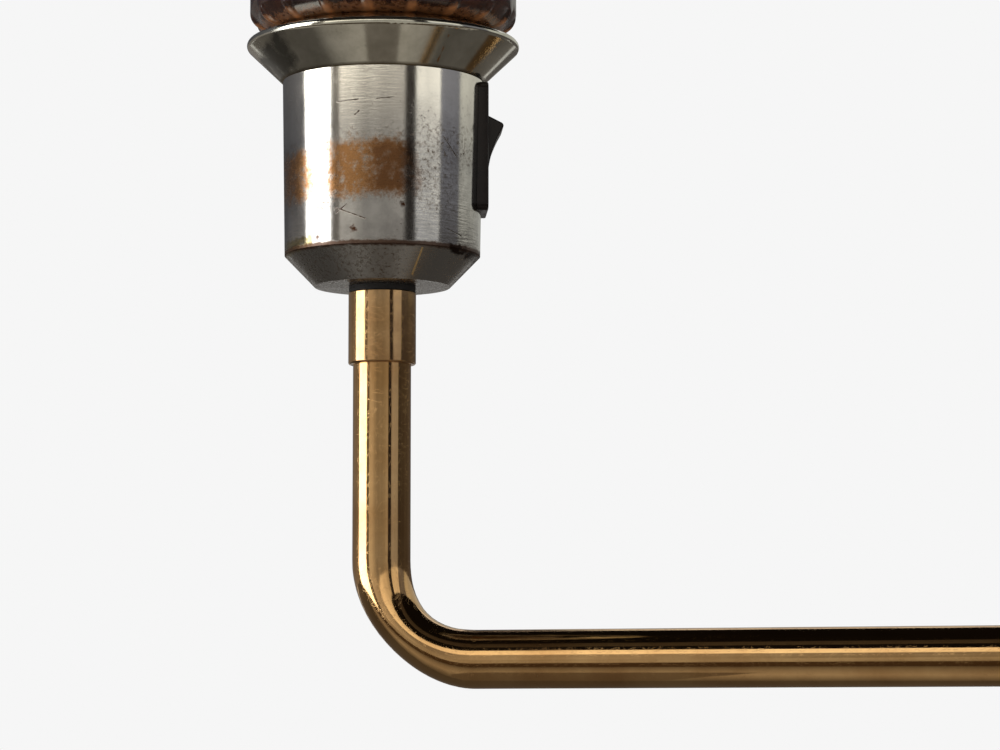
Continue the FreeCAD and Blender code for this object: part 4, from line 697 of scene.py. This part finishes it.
turned_brass = small_metal(
    "Turned_brass", "#d8b06c", "#caa05c", "#b88b4a", 6, 0.2, 0.32, 0.4, (0.2, 0.2, 2.0))
zinc_steel = small_metal(
    "Zinc_plated_steel", "#b6bcc2", "#c3c1b6", "#a3a6aa", 5, 0.28, 0.42, 0.5, (1, 1, 1))
spring_bronze = small_metal(
    "Spring_bronze_rolled", "#c98f5e", "#bb8052", "#a76f45", 4, 0.25, 0.35, 0.3, (1, 1, 0.15))
print("small metals:", turned_brass.name, zinc_steel.name, spring_bronze.name)

# %% [markdown]
# ## Every solid gets its finish
# The record names a material slot for each solid, and one table turns slots into materials. Two
# solids leave their slot's own finish: the collar is cleaner than the cup, and the sleeve is a
# separate turned piece with a duller polish than the arms.

# %% Assign the finishes
FINISHES = {
    "polished_brass": polished_brass,
    "plain_brass": turned_brass,
    "plated_cup": plated_cup,
    "zinc_steel": zinc_steel,
    "brown_phenolic": brown_phenolic,
    "black_plastic": black_moulding,
    "black_fibre": black_fibre,
    "white_moulding": white_polyamide,
    "porcelain": porcelain,
    "spring_bronze": spring_bronze,
}
SPECIAL = {"holder_collar": plated_collar, "end_sleeve": sleeve_brass}

for part in frame["record"]["subparts"]:
    solid = frame["nodes"][part["node"]]
    finish = SPECIAL.get(part["node"], FINISHES[part["material_slot"]])
    if not solid.material_slots:
        solid.data.materials.append(finish)
    for material_slot in solid.material_slots:
        material_slot.material = finish

# %% [markdown]
# ## Turned shapes with a detail that winds or repeats
# The threads and the ribbed ring are all turned shapes with something added: a groove that climbs
# as it goes round, or ribs at even steps. A grid does this simply. Each row is a full circle of
# points, and a rule gives the radius from the angle and the height. The last row joins the first,
# so the piece is closed, with no ends to cap.

# %% A helper for closed grids
def closed_grid(name, rows, material, node, sharp_degrees=40.0):
    """A closed piece from rows of points: rows join in a loop, and so do the points of each row."""
    count = len(rows[0])
    points = [p for row in rows for p in row]
    faces = []
    for i in range(len(rows)):
        j = (i + 1) % len(rows)
        for k in range(count):
            n = (k + 1) % count
            faces.append((i * count + k, i * count + n, j * count + n, j * count + k))
    piece = mesh_object(name, points, faces)
    piece.data.materials.append(material)
    piece.data.shade_smooth()
    piece.data.set_sharp_from_angle(angle=math.radians(sharp_degrees))
    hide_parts(node)
    print("%s: %d faces for %s" % (name, len(faces), node))
    return piece


def turned_row(radius_at, height, count):
    """One circle of points round the holder's axis, its radius set by a rule of the angle."""
    row = []
    for k in range(count):
        angle = math.tau * k / count
        radius = radius_at(angle)
        row.append((HOLDER_X + radius * math.cos(angle), HOLDER_Y + radius * math.sin(angle), height))
    return row


def smooth_step(value, low, high):
    """0 below low, 1 above high, and an even curve between."""
    share = min(max((value - low) / (high - low), 0.0), 1.0)
    return share * share * (3 - 2 * share)


def box_radius(node):
    """Half the width of a solid, from its box."""
    low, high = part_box(node)
    return (high[0] - low[0]) / 2


print("mantle radius %.2f mm" % (box_radius("holder_mantle") / MM))

# %% [markdown]
# ## The mantle
# The mantle is a moulded tube with a coarse rounded thread outside, which the ring climbs, and a
# smooth lead at its top. In a mould the thread starts and ends by fading into the wall, so the
# groove's depth is faded in and out with height.

# %% Mantle with its winding thread
mantle_low, mantle_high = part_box("holder_mantle")
MANTLE_R = box_radius("holder_mantle")
MANTLE_WALL = 2.8 * MM
MANTLE_LIP_R = 13.9 * MM
MANTLE_LIP_T = 2.4 * MM
MANTLE_PITCH = 3.0 * MM
MANTLE_GROOVE = 0.7 * MM
MANTLE_LEAD = 6.6 * MM
MANTLE_EDGE = 0.8 * MM
ROUND_STEPS = 144


def mantle_outside(height):
    """The rule of the mantle's outside at one height."""
    fade = smooth_step(height, mantle_low[2] + 1 * MM, mantle_low[2] + 3 * MM)
    thread_top = mantle_high[2] - MANTLE_LEAD
    fade *= 1 - smooth_step(height, thread_top - 1 * MM, thread_top + 1 * MM)

    def radius_at(angle):
        turn_share = (height - mantle_low[2]) / MANTLE_PITCH - angle / math.tau
        wave = 0.5 + 0.5 * math.cos(math.tau * turn_share)
        return MANTLE_R - MANTLE_GROOVE * fade * smooth_step(wave, 0.25, 0.95)
    return radius_at


def plain(radius):
    """A rule that gives one radius all round."""
    return lambda angle: radius


inner = MANTLE_R - MANTLE_WALL
top = mantle_high[2]
rows = []
side_rows = 112
for k in range(side_rows + 1):
    height = mantle_low[2] + (top - MANTLE_EDGE - mantle_low[2]) * k / side_rows
    rows.append(turned_row(mantle_outside(height), height, ROUND_STEPS))
for degrees in (30, 60, 90):
    bow = math.radians(degrees)
    rows.append(turned_row(plain(MANTLE_R - MANTLE_EDGE * (1 - math.cos(bow))),
                           top - MANTLE_EDGE * (1 - math.sin(bow)), ROUND_STEPS))
for radius, height in ((MANTLE_LIP_R + 0.4 * MM, top), (MANTLE_LIP_R, top - 0.4 * MM),
                       (MANTLE_LIP_R, top - MANTLE_LIP_T), (inner, top - MANTLE_LIP_T),
                       (inner, mantle_low[2])):
    rows.append(turned_row(plain(radius), height, ROUND_STEPS))
mantle = closed_grid("Mantle_threaded", rows, brown_phenolic, "holder_mantle")
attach(mantle, "outer_arm")

# %% [markdown]
# ## The screw shell
# The shell that takes the lamp is thin brass sheet, rolled so that the same wave shows inside and
# out. It is the one part where a stack of rings would look wrong from above, so here it winds.
# Inside and outside are the same rule, a sheet's thickness apart.

# %% Screw shell rolled from sheet
shell_low, shell_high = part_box("screw_shell")
SHELL_SHEET = 0.4 * MM
SHELL_CREST_R = 12.2 * MM
SHELL_ROOT_R = 13.35 * MM
SHELL_PITCH = 3.62 * MM
SHELL_SKIRT = 2.8 * MM
SHELL_HOLE_R = 7.5 * MM


def shell_wall(height, offset):
    """The rule of the shell's wall at one height, moved out by an offset."""
    calm = 1 - smooth_step(height, shell_low[2] + 0.6 * MM, shell_low[2] + SHELL_SKIRT)
    mouth = smooth_step(height, shell_high[2] - 1.6 * MM, shell_high[2])

    def radius_at(angle):
        turn_share = (height - shell_low[2]) / SHELL_PITCH - angle / math.tau
        wave = smooth_step(0.5 - 0.5 * math.cos(math.tau * turn_share), 0.1, 0.9)
        radius = SHELL_CREST_R + (SHELL_ROOT_R - SHELL_CREST_R) * wave
        radius += (SHELL_ROOT_R - radius) * calm
        radius += (SHELL_CREST_R + 0.4 * MM - radius) * mouth
        return radius + offset
    return radius_at


rows = []
side_rows = 120
for k in range(side_rows + 1):
    height = shell_low[2] + (shell_high[2] - shell_low[2]) * k / side_rows
    rows.append(turned_row(shell_wall(height, SHELL_SHEET), height, ROUND_STEPS))
floor_in = shell_low[2] + SHELL_SHEET
for k in range(side_rows, -1, -1):
    height = floor_in + (shell_high[2] - floor_in) * k / side_rows
    rows.append(turned_row(shell_wall(height, 0.0), height, ROUND_STEPS))
rows.append(turned_row(plain(SHELL_HOLE_R), floor_in, ROUND_STEPS))
rows.append(turned_row(plain(SHELL_HOLE_R), shell_low[2], ROUND_STEPS))
shell = closed_grid("Screw_shell_rolled", rows, turned_brass, "screw_shell")
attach(shell, "outer_arm")

# %% [markdown]
# ## The shade ring
# The ring's lower edge is a quarter round, hollowed between thin ribs for the fingers. The hollows
# are deepest half way up the bevel and run out at both ends, as the tool that cut the mould left
# them. The number for wear and painted reflection is highest on the ribs, half as high between them,
# and fades up the bevel: on the ribs it is wear, and over the lower bevel it is a painted reflection.

# %% Ring with ribs on its bevel
ring_low, ring_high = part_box("shade_ring")
RING_R = box_radius("shade_ring")
RING_BORE_R = 19.9 * MM
RING_FOOT_R = 22.7 * MM
RING_BEVEL_H = 4.0 * MM
RING_TOP_EDGE = 1.2 * MM
RING_BREAK = 0.5 * MM
RIBS = 18
RIB_SHARE = 0.10
HOLLOW_DEPTH = 0.75 * MM
RIB_STEPS = 24
BEVEL_ROWS = 18


def bevel_point(share):
    """A point of the bevel from its foot to its shoulder, as radius and height over the ring's foot."""
    bow = math.pi / 2 * share
    radius = RING_FOOT_R + (RING_R - RING_FOOT_R) * math.sin(bow) ** 1.15
    return radius, RING_BEVEL_H * (1 - math.cos(bow)) ** 1.1


def rib_shape(angle):
    """0 on a rib's crest and 1 in the hollows between."""
    off = abs((angle * RIBS / math.tau + 0.5) % 1.0 - 0.5) * 2
    return smooth_step(off, RIB_SHARE, RIB_SHARE + 0.22)


count = RIBS * RIB_STEPS
rows, wear_and_reflection = [], []
for k in range(BEVEL_ROWS + 1):
    share = k / BEVEL_ROWS
    radius, height = bevel_point(share)
    depth = HOLLOW_DEPTH * math.sin(math.pi * share) ** 0.6
    rows.append(turned_row(lambda a: radius - depth * rib_shape(a), ring_low[2] + height, count))
    # Real wear on the ribs, and a painted reflection over the lower half of the bevel.
    strength = 0.95 * (1 - smooth_step(share, 0.40, 0.85))
    wear_and_reflection.append([strength * (1 - 0.45 * rib_shape(math.tau * n / count)) for n in range(count)])
upper = (
    (RING_R, ring_high[2] - RING_TOP_EDGE),
    (RING_R - 0.35 * RING_TOP_EDGE, ring_high[2] - 0.3 * RING_TOP_EDGE),
    (RING_R - RING_TOP_EDGE, ring_high[2]),
    (RING_BORE_R + RING_BREAK, ring_high[2]),
    (RING_BORE_R, ring_high[2] - RING_BREAK),
    (RING_BORE_R, ring_low[2] + RING_BREAK),
    (RING_BORE_R + RING_BREAK, ring_low[2]),
)
for radius, height in upper:
    rows.append(turned_row(plain(radius), height, count))
    wear_and_reflection.append([0.0] * count)
ring = closed_grid("Shade_ring_ribbed", rows, brown_phenolic, "shade_ring")
numbers = ring.data.attributes.new(WEAR_AND_REFLECTION, "FLOAT", "POINT")
numbers.data.foreach_set("value", [w for row in wear_and_reflection for w in row])
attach(ring, "shade_ring")

# %% [markdown]
# ## Where the switch faces
# The holder is turned round on its nipple, so the switch doesn't face along the arm. The rocker's
# joint tells where its pin is, and the line from the holder's axis to the pin is the way that the
# switch faces. Its pieces are drawn as out, aside and up, and then placed along that line.

# %% The switch's own directions
joints = {joint["name"]: joint for joint in frame["record"]["behaviour"]["joints"]}
PIN_AT = Vector(joints["rocker_tilt"]["pos_m"])
OUT = Vector((PIN_AT.x - HOLDER_X, PIN_AT.y - HOLDER_Y, 0))
PIN_OUT = OUT.length
OUT.normalize()
ASIDE = Vector((-OUT.y, OUT.x, 0))


def switch_point(out, side, height):
    """A place out from the holder's axis, aside from the switch's middle, and at a height."""
    return Vector((HOLDER_X, HOLDER_Y, 0)) + OUT * out + ASIDE * side + Vector((0, 0, height))


def span(node, direction):
    """How far a solid goes from the holder's axis along a direction, least and most."""
    middle = Vector((HOLDER_X, HOLDER_Y, 0)).dot(direction)
    along = [v.co.dot(direction) - middle for v in frame["nodes"][node].data.vertices]
    return min(along), max(along)


print("the switch faces %.0f degrees round from the arm" % math.degrees(math.atan2(OUT.y, OUT.x)))

# %% [markdown]
# ## The switch's frame
# The frame is a flat bezel with rounded corners and a soft front edge, and its back follows the
# round cup. It is a loop of outlines again: each outline is a rounded rectangle, and its points
# know how far out the cup's wall is behind them.

# %% Bezel that follows the cup
FACE_OUT = span("switch_frame", OUT)[1]
HALF_W = span("switch_frame", ASIDE)[1]
FRAME_LOW, FRAME_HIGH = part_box("switch_frame")[0][2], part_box("switch_frame")[1][2]
HOUSING_OUT = span("switch_housing", OUT)[1]
BODY_HALF_H = (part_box("switch_housing")[1][2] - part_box("switch_housing")[0][2]) / 2
HOUSING_WALL = 0.9 * MM
BODY_HALF_W = span("switch_housing", ASIDE)[1]
CUP_TOP_R = (cup_high[0] - cup_low[0]) / 2
CUP_LOW_R = CUP_TOP_R - 0.6 * MM
OUTLINE_STEPS = 80


def rounded_outline(half_w, low, high, corner_r):
    """Points of a rounded rectangle as aside and height, spread by angle."""
    points = []
    for k in range(OUTLINE_STEPS):
        angle = math.tau * (k + 0.5) / OUTLINE_STEPS
        quarter = int(angle / (math.pi / 2))
        mid_x = (half_w - corner_r) * (1 if quarter in (0, 3) else -1)
        mid_y = high - corner_r if quarter in (0, 1) else low + corner_r
        local = angle - quarter * math.pi / 2
        bow = quarter * math.pi / 2 + smooth_step(local, 0.0, math.pi / 2) * math.pi / 2
        points.append((mid_x + corner_r * math.cos(bow), mid_y + corner_r * math.sin(bow)))
    return points


def cup_wall(side, height):
    """How far out the cup's wall is, behind a point of the bezel."""
    share = (height - CUP_FOOT - FOOT_BEND) / (cup_high[2] - CUP_FOOT - FOOT_BEND)
    radius = CUP_LOW_R + (CUP_TOP_R - CUP_LOW_R) * share
    return math.sqrt(radius ** 2 - side ** 2)


def bezel_row(half_w, low, high, corner_r, out=None):
    """One outline of the bezel, on the cup's wall where no distance is given."""
    row = []
    for side, height in rounded_outline(half_w, low, high, corner_r):
        row.append(switch_point(cup_wall(side, height) + 0.02 * MM if out is None else out, side, height))
    return row


SOFT = 0.3 * MM
body = (BODY_HALF_W, PIN_AT.z - BODY_HALF_H, PIN_AT.z + BODY_HALF_H, 0.5 * MM)
outer = (HALF_W, FRAME_LOW, FRAME_HIGH, 1.6 * MM)
opening = (BODY_HALF_W - HOUSING_WALL, PIN_AT.z - BODY_HALF_H + HOUSING_WALL,
           PIN_AT.z + BODY_HALF_H - HOUSING_WALL, 0.4 * MM)


def inset(outline, by):
    """An outline drawn in by a distance."""
    half_w, low, high, corner_r = outline
    return half_w - by, low + by, high - by, max(corner_r - by, 0.2 * MM)


rows = [
    bezel_row(*body, HOUSING_OUT),
    bezel_row(*body),
    bezel_row(*outer),
    bezel_row(*outer, FACE_OUT - SOFT),
    bezel_row(*inset(outer, 0.3 * SOFT), FACE_OUT - 0.3 * SOFT),
    bezel_row(*inset(outer, SOFT), FACE_OUT),
    bezel_row(*inset(opening, -SOFT), FACE_OUT),
    bezel_row(*opening, FACE_OUT - SOFT),
    bezel_row(*opening, HOUSING_OUT),
]
bezel = closed_grid("Switch_bezel", rows, black_moulding, "switch_frame", 50.0)
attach(bezel, "outer_arm")

# %% [markdown]
# ## The rocker
# The rocker is a small hollow-backed block with a dished face, so that a thumb finds either end.
# Its side outline is drawn once, with a lip rounded into each end of the dish, and pushed across
# its width. A bevel modifier then softens every hard edge, as a mould does.

# %% Rocker with a dished face
ROCKER_HALF_W = span("rocker", ASIDE)[1]
ROCKER_REST = math.radians(12.0)
TIP = (7.45, 8.15)
SHOULDER = (4.05, 9.05)
BACK_OUT = 1.6
DISH_OUT = 6.2
LIP_R = 0.9


def bow_points(start, through, end, steps):
    """Points on the curve from start to end that passes through a middle point."""
    points = []
    for k in range(1, steps + 1):
        t = k / steps
        pull = [2 * m - (a + b) / 2 for a, m, b in zip(start, through, end)]
        points.append(tuple((1 - t) ** 2 * a + 2 * t * (1 - t) * p + t ** 2 * b
                            for a, p, b in zip(start, pull, end)))
    return points


flank = (TIP[0] - LIP_R, TIP[1] + LIP_R / 4)
crown = (TIP[0] - LIP_R / 9, TIP[1] - LIP_R / 6)
lip = (TIP[0] - LIP_R / 18, TIP[1] - LIP_R)
outline = [(BACK_OUT, -SHOULDER[1] + 0.5), (SHOULDER[0], -SHOULDER[1]), (flank[0], -flank[1])]
outline += bow_points(outline[-1], (crown[0], -crown[1]), (lip[0], -lip[1]), 6)
outline += bow_points(outline[-1], (DISH_OUT, 0.0), lip, 20)
outline += bow_points(outline[-1], crown, flank, 6)
outline += [(SHOULDER[0], SHOULDER[1]), (BACK_OUT, SHOULDER[1] - 0.5)]
points = []
for side in (-1, 1):
    for out, high in outline:
        leant_out = out * math.cos(ROCKER_REST) + high * math.sin(ROCKER_REST)
        leant_up = high * math.cos(ROCKER_REST) - out * math.sin(ROCKER_REST)
        points.append(switch_point(PIN_OUT + leant_out * MM, side * ROCKER_HALF_W, PIN_AT.z + leant_up * MM))
n = len(outline)
faces = [tuple(range(n)), tuple(range(2 * n - 1, n - 1, -1))]
faces += [(k, n + k, n + (k + 1) % n, (k + 1) % n) for k in range(n)]
rocker = mesh_object("Rocker_dished", points, faces)
rocker.data.materials.append(black_moulding)
rocker.data.shade_smooth()
rocker.data.set_sharp_from_angle(angle=math.radians(35))
soften = rocker.modifiers.new("Soft_edges", "BEVEL")
soften.width = 0.3 * MM
soften.segments = 3
soften.limit_method = "ANGLE"
soften.angle_limit = math.radians(35)
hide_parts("rocker")
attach(rocker, "rocker")
print("rocker: %d outline points" % n)

# %% [markdown]
# ## How far the box grew
# The growth of the dressed lamp's box over the solids' own box is printed, in millimetres.

# %% Measure how far the box grew
sizes = {"cad": [[float(x) for x in corner] for corner in cad_box],
         "visual": [[float(x) for x in corner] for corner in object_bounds()]}
growth = [(v - c) / MM for a, b in zip(sizes["cad"], sizes["visual"]) for c, v in zip(a, b)]
print("box grew by", [round(g, 3) for g in growth])
